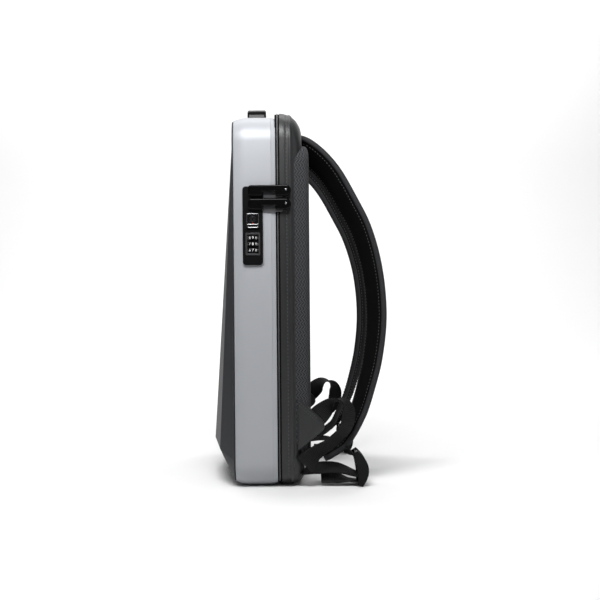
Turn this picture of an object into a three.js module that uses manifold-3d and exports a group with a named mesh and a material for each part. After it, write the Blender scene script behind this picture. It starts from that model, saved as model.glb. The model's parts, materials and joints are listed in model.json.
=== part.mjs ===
// Hard shell backpack, in millimetres.
// X runs across the wearer's back, with the lock on the +X side. Y runs from the front (-Y) to the
// wearer's side (+Y). Z is up. The origin is the middle of the flat bottom of the shell.

import * as THREE from 'three';
import { mergeVertices } from 'three/addons/utils/BufferGeometryUtils.js';
import Module from 'manifold-3d';

const wasm = await Module();
wasm.setup();

// Clearance between pieces that touch on the real object
const seamGap = 0.3;
const runningGap = 0.35;

// Shell frame: the silver side wall
const shellWidth = 310;
const shellHeight = 464;
const shellDepth = 52.4;
const shellFront = -29;
const shellCornerRadius = 34;
const shellWall = 2.5;
const shellBevelDepth = 12;
const shellBevelInset = 3.5;
const shellBevelKneeDepth = 4;
const shellBevelKneeInset = 1.4;
const rimStripDepth = 5.5;
const rimStripInset = 0.7;

// Front panel: flat facets that meet at a middle ridge and two side ridges
const panelRimInset = 5;
const panelRimThickness = 1.5;
const panelWall = 3;
const ridgeTopDepth = 8;
const ridgeFootDepth = 34.5;
const ridgeFootHeight = 43;
const sideRidgeDepth = 21.5;
const sideRidgeSpread = 110;
const ridgeTopDrop = 5;

// Zip line
const zipperWidth = 4.6;
const zipperInset = 1.6;
const zipperThickness = 1.8;

// Rear gusset: a hollow tray that rounds over into the back wall
const gussetDepth = 28.4;
const gussetRise = 5.5;
const gussetWall = 2.5;
const gussetBackWall = 3;
const gussetCornerRadius = 36;
const gussetRoundTop = 27.5;
const gussetRoundSide = 21;
const gussetRoundBottom = 9;
const gussetRows = [
  { depth: 0, top: 0, side: 0, bottom: 0 },
  { depth: 0.44, top: 0.13, side: 0.02, bottom: 0 },
  { depth: 0.7, top: 0.345, side: 0.24, bottom: 0.05 },
  { depth: 0.91, top: 0.64, side: 0.62, bottom: 0.33 },
  { depth: 1, top: 1, side: 1, bottom: 1 },
];

// Welt sewn round the gusset
const pipingOffset = 11;
const pipingWidth = 5;
const pipingProud = 1;

// Padded mesh back
const padProud = 8;
const padSideInset = 2.6;
const padSideDepth = 16.4;
const padTopDrop = 36;
const padBottomRise = 34;
const padCornerRadius = 24;
const padRound = 11;
const padRows = [
  { depth: 0, inset: 0 },
  { depth: 0.62, inset: 0.1 },
  { depth: 0.88, inset: 0.42 },
  { depth: 1, inset: 1 },
];

// Triangular wings low on the sides
const wingLength = 33.5;
const wingHeight = 66;
const wingThickness = 7;
const wingTopHeight = 112;
const wingProud = 2;
const wingRows = [
  { along: 0, down: 0 },
  { along: 0, down: 1 },
  { along: 0.5, down: 0.8 },
  { along: 0.93, down: 0.62 },
  { along: 1, down: 0.56 },
  { along: 0.97, down: 0.47 },
  { along: 0.9, down: 0.41 },
];

// Shoulder straps
const strapWidth = 52;
const strapThickness = 9;
const strapReach = 95;
const strapSpread = 97;
const strapCornerShare = 0.3;
const strapSteps = 40;
const strapRows = [
  { out: -0.12, up: 0.934, across: 0.86, tilt: 24, width: 1 },
  { out: 0.03, up: 0.925, across: 0.87, tilt: 24, width: 1 },
  { out: 0.21, up: 0.897, across: 0.88, tilt: 24, width: 1 },
  { out: 0.4, up: 0.851, across: 0.9, tilt: 24, width: 1 },
  { out: 0.63, up: 0.768, across: 0.93, tilt: 23, width: 1 },
  { out: 0.8, up: 0.696, across: 0.96, tilt: 22, width: 1 },
  { out: 0.945, up: 0.588, across: 0.98, tilt: 20, width: 1 },
  { out: 1, up: 0.457, across: 1, tilt: 19, width: 1 },
  { out: 0.945, up: 0.341, across: 1.01, tilt: 17, width: 1 },
  { out: 0.855, up: 0.263, across: 1.02, tilt: 15, width: 0.99 },
  { out: 0.75, up: 0.194, across: 1.03, tilt: 14, width: 0.96 },
  { out: 0.62, up: 0.137, across: 1.06, tilt: 12, width: 0.88 },
  { out: 0.53, up: 0.105, across: 1.08, tilt: 8, width: 0.78 },
  { out: 0.42, up: 0.085, across: 1.09, tilt: 4, width: 0.68 },
  { out: 0.33, up: 0.073, across: 1.1, tilt: 2, width: 0.62 },
  { out: 0.27, up: 0.067, across: 1.1, tilt: 0, width: 0.52 },
];
const tailRow = 11;

// Webbing
const webbingWidth = 25;
const webbingThickness = 1.8;
const webbingInset = 9;
const loopReach = 55;
const loopTop = 110;
const loopSteps = 30;
const anchorSteps = 30;
const tailSteps = 26;
const webbingCornerShare = 0.25;
const loopRows = [
  { out: 0.205, up: 0.76, across: 1.034, faceX: -1, faceY: 0, faceZ: 0 },
  { out: 0.315, up: 0.812, across: 1.034, faceX: -1, faceY: 0, faceZ: 0 },
  { out: 0.444, up: 0.873, across: 1.03, faceX: -0.93, faceY: -0.2, faceZ: 0.3 },
  { out: 0.604, up: 0.947, across: 1.02, faceX: -0.6, faceY: -0.35, faceZ: 0.72 },
  { out: 0.785, up: 0.973, across: 1.005, faceX: 0, faceY: 0.1, faceZ: 1 },
  { out: 0.938, up: 0.927, across: 0.99, faceX: 0.5, faceY: 0.6, faceZ: 0.62 },
  { out: 1, up: 0.839, across: 0.98, faceX: 0.7, faceY: 0.7, faceZ: 0.15 },
  { out: 0.985, up: 0.744, across: 0.98, faceX: 0.7, faceY: 0.7, faceZ: -0.1 },
  { out: 0.929, up: 0.658, across: 0.985, faceX: 0.66, faceY: 0.68, faceZ: -0.3 },
  { out: 0.809, up: 0.589, across: 0.99, faceX: 0.62, faceY: 0.5, faceZ: -0.6 },
  { out: 0.54, up: 0.473, across: 1, faceX: 0.65, faceY: 0.35, faceZ: -0.65 },
  { out: 0.233, up: 0.383, across: 1.03, faceX: 0.8, faceY: 0.25, faceZ: -0.5 },
  { out: -0.02, up: 0.26, across: 1.05, faceX: 1, faceY: 0.1, faceZ: 0 },
];

// Ladder locks
const ladderWidth = 34;
const ladderInset = 25;
const ladderReach = 69;
const ladderLean = 6;
const ladderHeight = 42;
const ladderThickness = 4.5;
const ladderRailWidth = 3.5;
const ladderBulge = 9;
const ladderBarRadius = 2.1;
const ladderFoot = 0.6;
const ladderBars = [
  { share: 0.16 },
  { share: 0.52 },
  { share: 0.94 },
];

// Anchor webbing: out of the lower rear corner, round the lowest bar and back underneath.
// Its face leans towards the bag's side between its ends and the bar
const anchorRows = [
  { out: -0.06, up: 0.36, lean: 0 },
  { out: 0.25, up: 0.5, lean: 0.5 },
  { out: 0.6, up: 0.5, lean: 0.4 },
  { out: 0.8, up: 0.14, lean: 0 },
  { out: 0.6, up: 0.2, lean: -0.35 },
  { out: 0.3, up: 0.22, lean: -0.4 },
];
const anchorTurnRow = 3;
const anchorTurnStart = 105;
const anchorTurnEnd = -100;
const tailTurnStart = 170;
const tailTurnEnd = 360;
const tailBendShare = 1.3;
const tailBendAcross = 0.333;
const turnSteps = 5;

// Top handle
const handleLength = 120;
const handleWidth = 25;
const handleThickness = 5;
const handleRise = 21;
const handleShift = -1;
const handleMountLength = 24;
const handleMountWidth = 30;
const handleMountThickness = 2.4;
const handleMountCornerRadius = 5;
const handleCornerShare = 0.3;
const handleSteps = 20;
const handleRows = [
  { along: -1, up: 0 },
  { along: -1, up: 0.35 },
  { along: -0.88, up: 0.78 },
  { along: -0.66, up: 0.98 },
  { along: -0.3, up: 1 },
  { along: 0.3, up: 1 },
  { along: 0.66, up: 0.98 },
  { along: 0.88, up: 0.78 },
  { along: 1, up: 0.35 },
  { along: 1, up: 0 },
];

// Combination lock on the +X side
const lockWidth = 25;
const lockHeight = 97;
const lockProud = 3;
const lockCornerRadius = 4;
const lockLine = -5;
const lockCentreHeight = 324.8;
const lockBodyWidth = 19;
const lockBodyHeight = 86;
const lockBodyDepth = 13;
const lockBodyCornerRadius = 2;
const dialRadius = 6.5;
const dialThickness = 5.2;
const dialPitch = 7.65;
const dialProud = 1.8;
const dialBore = 1.5;
const dialTopDrop = 15;
const bezelWidth = 18;
const bezelHeight = 27.5;
const bezelRim = 1.9;
const bezelDepth = 1.2;
const bezelProud = 0.5;
const bezelCornerRadius = 1.3;
const bezelWindowRadius = 0.6;
const bezelRecessRadius = 1.5;
const buttonWidth = 14.4;
const buttonHeight = 5;
const buttonProud = 1.4;
const buttonDepth = 3;
const buttonTravel = 2.5;
const buttonDrop = 1.8;
const buttonCornerRadius = 1;
const keyRadius = 4;
const keyDepth = 8;
const keyProud = 0.6;
const keySlotWidth = 1.2;
const keySlotLength = 5;
const keySlotDepth = 2;
const keyRise = 8;

// Zip sliders and pulls, held by the lock
const pullLength = 53;
const pullHeight = 13.4;
const pullThickness = 4.6;
const pullOverlap = 5.4;
const pullPitch = 16.9;
const pullTopDrop = 5.4;
const pullCornerShare = 0.333;
const pullNotchStart = 17.9;
const pullNotchEnd = 33.6;
const pullNotchHeight = 4.6;
const sliderHeight = 11.5;
const sliderThickness = 2.2;
const sliderCornerRadius = 2.5;
const sliderDrop = 3.4;
const sliderReach = 6;

// Places that several pieces share
const shellRear = shellFront + shellDepth;
const halfWidth = shellWidth / 2;
const webbingSpread = halfWidth - webbingInset;
const ladderSpread = halfWidth - ladderInset;
const zipperFront = shellRear + seamGap;
const gussetFront = zipperFront + zipperWidth + seamGap;
const backWall = gussetFront + gussetDepth;
const lockFace = halfWidth + lockProud;
const turnClear = ladderBarRadius + 2 * seamGap + webbingThickness / 2;
const arcSteps = 8;
const roundSides = 16;
const curveSegments = 6;
const finestDetail = 0.02;
const triangleCorners = 3;

function outline(y, halfSpan, bottom, top, radius) {
  // Rounded rectangle in the plane Y = y, run round from the lower right corner
  const corners = [
    { x: halfSpan - radius, z: bottom + radius, turn: -Math.PI / 2 },
    { x: halfSpan - radius, z: top - radius, turn: 0 },
    { x: radius - halfSpan, z: top - radius, turn: Math.PI / 2 },
    { x: radius - halfSpan, z: bottom + radius, turn: Math.PI },
  ];
  const points = [];
  for (const corner of corners) {
    for (let step = 0; step <= arcSteps; step += 1) {
      const angle = corner.turn + (step / arcSteps) * (Math.PI / 2);
      const x = corner.x + radius * Math.cos(angle);
      const z = corner.z + radius * Math.sin(angle);
      points.push(new THREE.Vector3(x, y, z));
    }
  }
  return points;
}

function geometryFrom(points, triangles) {
  const geometry = new THREE.BufferGeometry();
  const numbers = points.flatMap((point) => point.toArray());
  geometry.setAttribute('position', new THREE.Float32BufferAttribute(numbers, 3));
  geometry.setIndex(triangles.flat());
  return geometry;
}

function solidFrom(geometry) {
  const bare = geometry.clone();
  bare.deleteAttribute('normal');
  bare.deleteAttribute('uv');
  const merged = mergeVertices(bare, 1e-4);
  const triVerts = new Uint32Array(merged.index.array);
  const vertProperties = new Float32Array(merged.attributes.position.array);
  const solid = new wasm.Manifold(new wasm.Mesh({ numProp: 3, vertProperties, triVerts }));
  if (solid.volume() > 0) {
    return solid;
  }
  const turned = triVerts.slice();
  for (let corner = 0; corner < turned.length; corner += triangleCorners) {
    turned[corner] = triVerts[corner + 1];
    turned[corner + 1] = triVerts[corner];
  }
  return new wasm.Manifold(new wasm.Mesh({ numProp: 3, vertProperties, triVerts: turned }));
}

function geometryOf(solid) {
  // Slivers finer than the finest detail are merged away
  const mesh = solid.simplify(finestDetail).getMesh();
  const geometry = new THREE.BufferGeometry();
  geometry.setAttribute('position', new THREE.Float32BufferAttribute(mesh.vertProperties, 3));
  geometry.setIndex(Array.from(mesh.triVerts));
  geometry.computeVertexNormals();
  return geometry;
}

function loft(loops, isRing) {
  // Skin through loops of equal count. A ring joins its last loop to its first, else both ends are capped
  const count = loops[0].length;
  const points = loops.flat();
  const triangles = [];
  const bands = isRing ? loops.length : loops.length - 1;
  for (let band = 0; band < bands; band += 1) {
    const near = band * count;
    const far = ((band + 1) % loops.length) * count;
    for (let i = 0; i < count; i += 1) {
      const j = (i + 1) % count;
      triangles.push([near + i, near + j, far + j], [near + i, far + j, far + i]);
    }
  }
  if (!isRing) {
    for (const [start, flip] of [[0, true], [(loops.length - 1) * count, false]]) {
      const middle = new THREE.Vector3();
      for (let i = 0; i < count; i += 1) {
        middle.addScaledVector(points[start + i], 1 / count);
      }
      points.push(middle);
      const centre = points.length - 1;
      for (let i = 0; i < count; i += 1) {
        const j = (i + 1) % count;
        triangles.push(flip ? [centre, start + j, start + i] : [centre, start + i, start + j]);
      }
    }
  }
  return solidFrom(geometryFrom(points, triangles));
}

function block(low, high) {
  const size = new THREE.Vector3().subVectors(high, low);
  const geometry = new THREE.BoxGeometry(size.x, size.y, size.z);
  geometry.translate((low.x + high.x) / 2, (low.y + high.y) / 2, (low.z + high.z) / 2);
  return solidFrom(geometry);
}

function roundedShape(width, height, radius) {
  const x = width / 2 - radius;
  const y = height / 2 - radius;
  const shape = new THREE.Shape();
  shape.absarc(x, -y, radius, -Math.PI / 2, 0, false);
  shape.absarc(x, y, radius, 0, Math.PI / 2, false);
  shape.absarc(-x, y, radius, Math.PI / 2, Math.PI, false);
  shape.absarc(-x, -y, radius, Math.PI, Math.PI * 1.5, false);
  shape.closePath();
  return shape;
}

function sidePlate(shape, x, thickness, y, z) {
  // A shape drawn in the plane across X (its own X along Y, its own Y along Z), thickened towards +X
  const settings = { depth: thickness, bevelEnabled: false, curveSegments };
  const geometry = new THREE.ExtrudeGeometry(shape, settings);
  geometry.rotateY(Math.PI / 2);
  geometry.rotateX(Math.PI / 2);
  geometry.translate(x, y, z);
  return solidFrom(geometry);
}

function rounded(width, height, radius, thickness) {
  return sidePlate(roundedShape(width, height, radius), 0, thickness, 0, 0);
}

function cylinderAlong(axis, radius, length, centre) {
  const geometry = new THREE.CylinderGeometry(radius, radius, length, roundSides);
  if (axis === 'x') {
    geometry.rotateZ(Math.PI / 2);
  }
  if (axis === 'z') {
    geometry.rotateX(Math.PI / 2);
  }
  geometry.translate(centre.x, centre.y, centre.z);
  return solidFrom(geometry);
}

function shareAt(rows, key, share) {
  // Value of one column at a share of the way along a table, smoothed between its rows
  const place = share * (rows.length - 1);
  const row = Math.min(Math.floor(place), rows.length - 2);
  return THREE.MathUtils.lerp(rows[row][key], rows[row + 1][key], place - row);
}

function bandSections(route, faceAt, widthAt, thickness, steps, cornerShare) {
  // Sections of a flat band along a smooth route. faceAt gives the direction that its broad face looks in
  const curve = new THREE.CatmullRomCurve3(route, false, 'centripetal');
  const loops = [];
  for (let step = 0; step <= steps; step += 1) {
    const share = step / steps;
    const centre = curve.getPoint(share);
    const along = curve.getTangent(share);
    const across = new THREE.Vector3().crossVectors(faceAt(share, along), along).normalize();
    const face = new THREE.Vector3().crossVectors(along, across).normalize();
    const halfSpan = widthAt(share) / 2;
    const halfThick = thickness / 2;
    const corner = thickness * cornerShare;
    const section = [
      [halfSpan, corner - halfThick], [halfSpan, halfThick - corner],
      [halfSpan - corner, halfThick], [corner - halfSpan, halfThick],
      [-halfSpan, halfThick - corner], [-halfSpan, corner - halfThick],
      [corner - halfSpan, -halfThick], [halfSpan - corner, -halfThick],
    ];
    loops.push(section.map(([a, b]) => centre.clone().addScaledVector(across, a).addScaledVector(face, b)));
  }
  return loops;
}

// Shell frame

function frameLoop(y, inset) {
  return outline(y, halfWidth - inset, inset, shellHeight - inset, shellCornerRadius - inset);
}

function makeShellFrame() {
  const bevelEnd = shellFront + shellBevelDepth;
  const stripStart = shellRear - rimStripDepth;
  const ring = loft([
    frameLoop(shellFront, shellBevelInset),
    frameLoop(shellFront + shellBevelKneeDepth, shellBevelKneeInset),
    frameLoop(bevelEnd, 0),
    frameLoop(stripStart, 0),
    frameLoop(stripStart + rimStripInset / 2, rimStripInset),
    frameLoop(shellRear, rimStripInset),
    frameLoop(shellRear, shellWall),
    frameLoop(bevelEnd, shellWall),
    frameLoop(shellFront, shellBevelInset + shellWall),
  ], true);
  const hole = lockBodyForm(runningGap);
  return ring.subtract(hole);
}

// Front panel

function makeFrontPanel() {
  const rimFace = shellFront - seamGap - panelRimThickness;
  const rimBack = shellFront - seamGap;
  const ridgeTop = shellHeight - ridgeTopDrop;
  const ridges = [
    new THREE.Vector3(0, shellFront - ridgeTopDepth, ridgeTop),
    new THREE.Vector3(sideRidgeSpread, shellFront - sideRidgeDepth, ridgeFootHeight),
    new THREE.Vector3(0, shellFront - ridgeFootDepth, ridgeFootHeight),
    new THREE.Vector3(-sideRidgeSpread, shellFront - sideRidgeDepth, ridgeFootHeight),
  ];
  const [top, right, foot, left] = [0, 1, 2, 3];
  const rim = frameLoop(rimFace, panelRimInset);
  const cornerCount = arcSteps + 1;
  const anchorOf = (i) => [right, top, top, left][Math.floor(i / cornerCount)];
  const points = [...ridges, ...rim];
  const firstRim = ridges.length;
  const faces = [[top, foot, right], [top, left, foot]];
  for (let i = 0; i < rim.length; i += 1) {
    const j = (i + 1) % rim.length;
    const here = anchorOf(i);
    const next = anchorOf(j);
    if (here === left && next === right) {
      faces.push([firstRim + i, firstRim + j, foot], [firstRim + i, foot, left], [firstRim + j, right, foot]);
    } else if (here === right && next === top) {
      faces.push([firstRim + i, firstRim + j, top], [firstRim + i, top, right]);
    } else if (here === top && next === left) {
      faces.push([firstRim + i, firstRim + j, top], [firstRim + j, left, top]);
    } else {
      faces.push([firstRim + i, firstRim + j, here]);
    }
  }
  const backOffset = points.length;
  for (const ridge of ridges) {
    points.push(new THREE.Vector3(ridge.x, ridge.y + panelWall, ridge.z));
  }
  for (const point of rim) {
    points.push(new THREE.Vector3(point.x, rimBack, point.z));
  }
  const backs = faces.map(([a, b, c]) => [a + backOffset, c + backOffset, b + backOffset]);
  const walls = [];
  for (let i = 0; i < rim.length; i += 1) {
    const j = (i + 1) % rim.length;
    const a = firstRim + i;
    const b = firstRim + j;
    walls.push([a, a + backOffset, b + backOffset], [a, b + backOffset, b]);
  }
  return solidFrom(geometryFrom(points, [...faces, ...backs, ...walls]));
}

// Zip line

function makeZipperTape() {
  const rear = zipperFront + zipperWidth;
  return loft([
    frameLoop(zipperFront, zipperInset),
    frameLoop(rear, zipperInset),
    frameLoop(rear, zipperInset + zipperThickness),
    frameLoop(zipperFront, zipperInset + zipperThickness),
  ], true);
}

// Rear gusset

function gussetLoop(share, growth) {
  // Outline of the gusset at a share of its depth, grown outwards or, when negative, inwards.
  // It sits higher than the shell's bottom by as much as its welt stands proud, so both touch the floor
  const at = gussetRows.findIndex((row, i) => i > 0 && row.depth >= share);
  const low = gussetRows[at - 1];
  const high = gussetRows[at];
  const mix = (share - low.depth) / (high.depth - low.depth);
  const side = THREE.MathUtils.lerp(low.side, high.side, mix) * gussetRoundSide;
  const top = THREE.MathUtils.lerp(low.top, high.top, mix) * gussetRoundTop;
  const bottom = THREE.MathUtils.lerp(low.bottom, high.bottom, mix) * gussetRoundBottom;
  return {
    halfSpan: halfWidth - side + growth,
    bottom: pipingProud + bottom - growth,
    top: shellHeight + gussetRise - top + growth,
    radius: gussetCornerRadius + growth,
  };
}

function gussetOutline(share, growth, y) {
  const loop = gussetLoop(share, growth);
  return outline(y, loop.halfSpan, loop.bottom, loop.top, loop.radius);
}

function gussetForm(growth) {
  // The gusset's outer shape as one full body, grown by a clearance
  const loops = gussetRows.map((row) => {
    const y = gussetFront + row.depth * gussetDepth + growth;
    return gussetOutline(row.depth, growth, y);
  });
  return loft([gussetOutline(0, growth, gussetFront - growth), ...loops], false);
}

function makeRearGusset() {
  const hollowDepth = gussetDepth - gussetBackWall;
  const trayOf = (growth, reach) => gussetRows.map(
    (row) => gussetOutline(row.depth, growth, gussetFront + row.depth * reach),
  );
  const inner = trayOf(-gussetWall, hollowDepth);
  const outer = trayOf(0, gussetDepth);
  return loft([...inner.reverse(), ...outer], false);
}

function makeGussetPiping() {
  const loops = [pipingOffset, pipingOffset + pipingWidth].map(
    (offset) => gussetOutline(offset / gussetDepth, pipingProud, gussetFront + offset),
  );
  return loft(loops, false).subtract(gussetForm(seamGap));
}

// Padded back

function padForm(growth) {
  const face = backWall + padProud;
  const loops = padRows.map((row) => {
    const y = face - padSideDepth + row.depth * padSideDepth + growth;
    const inset = row.inset * padRound - growth;
    const bottom = padBottomRise + inset;
    const top = shellHeight - padTopDrop - inset;
    return outline(y, halfWidth - padSideInset - inset, bottom, top, padCornerRadius);
  });
  const start = outline(
    face - padSideDepth - growth,
    halfWidth - padSideInset + growth,
    padBottomRise - growth,
    shellHeight - padTopDrop + growth,
    padCornerRadius,
  );
  return loft(growth > 0 ? [start, ...loops] : loops, false);
}

function makeBackPad() {
  const wing = wingBlank(seamGap);
  return padForm(0).subtract(gussetForm(seamGap)).subtract(wing).subtract(wing.mirror([1, 0, 0]));
}

// Wings

function grownPolygon(corners, growth) {
  // Moves every edge of a polygon outwards by the same distance. Its corners run anticlockwise
  return corners.map((corner, i) => {
    const before = corners[(i + corners.length - 1) % corners.length];
    const after = corners[(i + 1) % corners.length];
    const entry = new THREE.Vector2().subVectors(corner, before).normalize();
    const exit = new THREE.Vector2().subVectors(after, corner).normalize();
    const entrySide = new THREE.Vector2(entry.y, -entry.x);
    const exitSide = new THREE.Vector2(exit.y, -exit.x);
    const mitre = entrySide.clone().add(exitSide);
    return corner.clone().addScaledVector(mitre, growth / (1 + entrySide.dot(exitSide)));
  });
}

function wingBlank(growth) {
  // Triangle in the side plane: a slanted top seam, a blunt tip and a slanted lower edge
  const corners = wingRows.map((row) => new THREE.Vector2(row.along * wingLength, -row.down * wingHeight));
  const shape = new THREE.Shape(grownPolygon(corners, growth));
  const outerFace = halfWidth - padSideInset + wingProud;
  const blank = sidePlate(shape, outerFace - wingThickness - growth, wingThickness + growth * 2, 0, 0);
  return blank.translate([0, backWall + padProud - padSideDepth, wingTopHeight]);
}

function makeWing() {
  return wingBlank(0).subtract(gussetForm(seamGap));
}

// Shoulder straps

function strapPoint(row) {
  return new THREE.Vector3(
    row.across * strapSpread,
    backWall + row.out * strapReach,
    row.up * shellHeight,
  );
}

function strapForm(growth) {
  const route = strapRows.map(strapPoint);
  const faceAt = (share, along) => {
    const tilt = THREE.MathUtils.degToRad(shareAt(strapRows, 'tilt', share));
    const outward = new THREE.Vector3(0, -along.z, along.y).normalize();
    const lean = new THREE.Vector3(-Math.sin(tilt), 0, 0);
    return outward.multiplyScalar(Math.cos(tilt)).add(lean);
  };
  const widthAt = (share) => strapWidth * shareAt(strapRows, 'width', share) + 2 * growth;
  const thickness = strapThickness + 2 * growth;
  return loft(bandSections(route, faceAt, widthAt, thickness, strapSteps, strapCornerShare), false);
}

function makeShoulderStrap() {
  return strapForm(0).subtract(gussetForm(seamGap)).subtract(padForm(seamGap));
}

// Webbing

function webbingBand(route, faceAt, steps) {
  // Each stretch is the hull of its two end sections, so that no tight twist folds the band through itself
  const sections = bandSections(route, faceAt, () => webbingWidth, webbingThickness, steps, webbingCornerShare);
  const corners = sections.map((section) => section.map((corner) => corner.toArray()));
  const stretches = corners.slice(1).map((far, index) => wasm.Manifold.hull([...corners[index], ...far]));
  // Rounding leaves specks of empty space where two stretches meet: the largest body is the band without them
  const bodies = wasm.Manifold.union(stretches).decompose();
  return bodies.reduce((largest, body) => (body.volume() > largest.volume() ? body : largest));
}

function makeLoopWebbing() {
  const route = loopRows.map((row) => new THREE.Vector3(
    row.across * webbingSpread,
    backWall + row.out * loopReach,
    row.up * loopTop,
  ));
  const faceAt = (share) => new THREE.Vector3(
    shareAt(loopRows, 'faceX', share),
    shareAt(loopRows, 'faceY', share),
    shareAt(loopRows, 'faceZ', share),
  );
  const band = webbingBand(route, faceAt, loopSteps);
  return band.subtract(gussetForm(seamGap)).subtract(padForm(seamGap)).subtract(wingBlank(seamGap));
}

function ladderPoint(share) {
  // Middle of the ladder lock's bowed side rail, from its foot up to its top
  const bow = Math.sin(Math.PI * share) * ladderBulge - share * ladderLean;
  return {
    y: backWall + ladderReach + bow,
    z: ladderFoot + share * ladderHeight,
  };
}

function makeAnchorWebbing() {
  const places = anchorRows.map((row) => ({
    lean: row.lean,
    point: new THREE.Vector3(ladderSpread, backWall + row.out * ladderReach, row.up * ladderHeight),
  }));
  const bar = ladderPoint(ladderBars[0].share);
  const turn = turnRound(bar, turnClear, anchorTurnStart, anchorTurnEnd).map((point) => ({ lean: 0, point }));
  const full = [...places.slice(0, anchorTurnRow), ...turn, ...places.slice(anchorTurnRow)];
  const route = full.map((place) => place.point);
  const faceAt = (share, along) => new THREE.Vector3(shareAt(full, 'lean', share), -along.z, along.y);
  const band = webbingBand(route, faceAt, anchorSteps);
  return band.subtract(gussetForm(seamGap)).subtract(padForm(seamGap)).subtract(ladderBarForm(seamGap));
}

function ladderBarForm(growth) {
  // The bars of the ladder lock, grown by a clearance
  const length = ladderWidth - ladderRailWidth;
  const bars = ladderBars.map((bar) => {
    const point = ladderPoint(bar.share);
    const centre = new THREE.Vector3(ladderSpread, point.y, point.z);
    return cylinderAlong('x', ladderBarRadius + growth, length, centre);
  });
  return bars.reduce((all, bar) => all.add(bar));
}

function makeLadderLock() {
  const rails = [];
  const steps = 12;
  for (const edge of [-1, 1]) {
    const outer = [];
    const inner = [];
    for (let step = 0; step <= steps; step += 1) {
      const point = ladderPoint(step / steps);
      outer.push(new THREE.Vector2(point.y + ladderThickness / 2, point.z));
      inner.push(new THREE.Vector2(point.y - ladderThickness / 2, point.z));
    }
    const shape = new THREE.Shape([...outer, ...inner.reverse()]);
    const middle = ladderSpread + edge * (ladderWidth - ladderRailWidth) / 2;
    rails.push(sidePlate(shape, middle - ladderRailWidth / 2, ladderRailWidth, 0, 0));
  }
  return rails[0].add(rails[1]).add(ladderBarForm(0));
}

function turnRound(bar, clear, firstAngle, lastAngle) {
  // Points on the webbing's way round a bar, from one angle to another in degrees
  const points = [];
  for (let step = 0; step <= turnSteps; step += 1) {
    const angle = THREE.MathUtils.degToRad(THREE.MathUtils.lerp(firstAngle, lastAngle, step / turnSteps));
    const y = bar.y + clear * Math.cos(angle);
    const z = bar.z + clear * Math.sin(angle);
    points.push(new THREE.Vector3(ladderSpread, y, z));
  }
  return points;
}

function makeStrapTail() {
  // Lies on the strap's outer face, passes the top bar and turns up round the middle bar
  const upper = strapPoint(strapRows[tailRow]);
  const lower = strapPoint(strapRows[tailRow + 1]);
  const run = new THREE.Vector3().subVectors(lower, upper).normalize();
  const lift = strapThickness / 2 + seamGap + webbingThickness / 2;
  const outward = new THREE.Vector3(0, -run.z, run.y).multiplyScalar(lift);
  const topBar = ladderPoint(ladderBars[2].share);
  const bend = new THREE.Vector3(
    THREE.MathUtils.lerp(ladderSpread, lower.x, tailBendAcross),
    topBar.y - turnClear * tailBendShare,
    topBar.z - turnClear / 2,
  );
  const route = [
    upper.clone().add(outward),
    lower.clone().add(outward),
    bend,
    ...turnRound(ladderPoint(ladderBars[1].share), turnClear, tailTurnStart, tailTurnEnd),
  ];
  const faceAt = (share, along) => new THREE.Vector3(0, -along.z, along.y);
  const band = webbingBand(route, faceAt, tailSteps);
  return band.subtract(strapForm(seamGap)).subtract(ladderBarForm(seamGap));
}

// Handle

function handleMountTop() {
  return shellHeight + seamGap + handleMountThickness;
}

function makeHandleMount() {
  const shape = roundedShape(handleMountLength, handleMountWidth, handleMountCornerRadius);
  const settings = { depth: handleMountThickness, bevelEnabled: false, curveSegments };
  const geometry = new THREE.ExtrudeGeometry(shape, settings);
  geometry.translate((handleLength - handleThickness) / 2, handleShift, shellHeight + seamGap);
  return solidFrom(geometry);
}

function makeHandleGrip() {
  const low = handleMountTop() + seamGap;
  const rise = shellHeight + handleRise - handleThickness / 2 - low;
  const half = (handleLength - handleThickness) / 2;
  const route = handleRows.map(
    (row) => new THREE.Vector3(row.along * half, handleShift, low + row.up * rise),
  );
  const faceAt = (share, along) => new THREE.Vector3(-along.z, 0, along.x);
  const sections = bandSections(route, faceAt, () => handleWidth, handleThickness, handleSteps, handleCornerShare);
  return loft(sections, false);
}

// Lock

function lockBodyForm(growth) {
  const width = lockBodyWidth + 2 * growth;
  const height = lockBodyHeight + 2 * growth;
  const depth = lockBodyDepth + seamGap + growth;
  const body = rounded(width, height, lockBodyCornerRadius, depth + lockProud);
  return body.translate([halfWidth - lockBodyDepth - growth, lockLine, lockCentreHeight]);
}

function dialHeight(number) {
  return lockCentreHeight - dialTopDrop - (number - 1) * dialPitch;
}

function dialCentre(number) {
  return new THREE.Vector3(lockFace + dialProud - dialRadius, lockLine, dialHeight(number));
}

function makeDial() {
  const middle = new THREE.Vector3(0, 0, 0);
  const disc = cylinderAlong('z', dialRadius, dialThickness, middle);
  return disc.subtract(cylinderAlong('z', dialBore, dialThickness * 2, middle));
}

const keyHeight = lockCentreHeight + keyRise;
const buttonTop = keyHeight - keyRadius - buttonDrop;
const buttonCentre = buttonTop - buttonHeight / 2;

function bezelCentreHeight() {
  return dialHeight(2);
}

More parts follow.
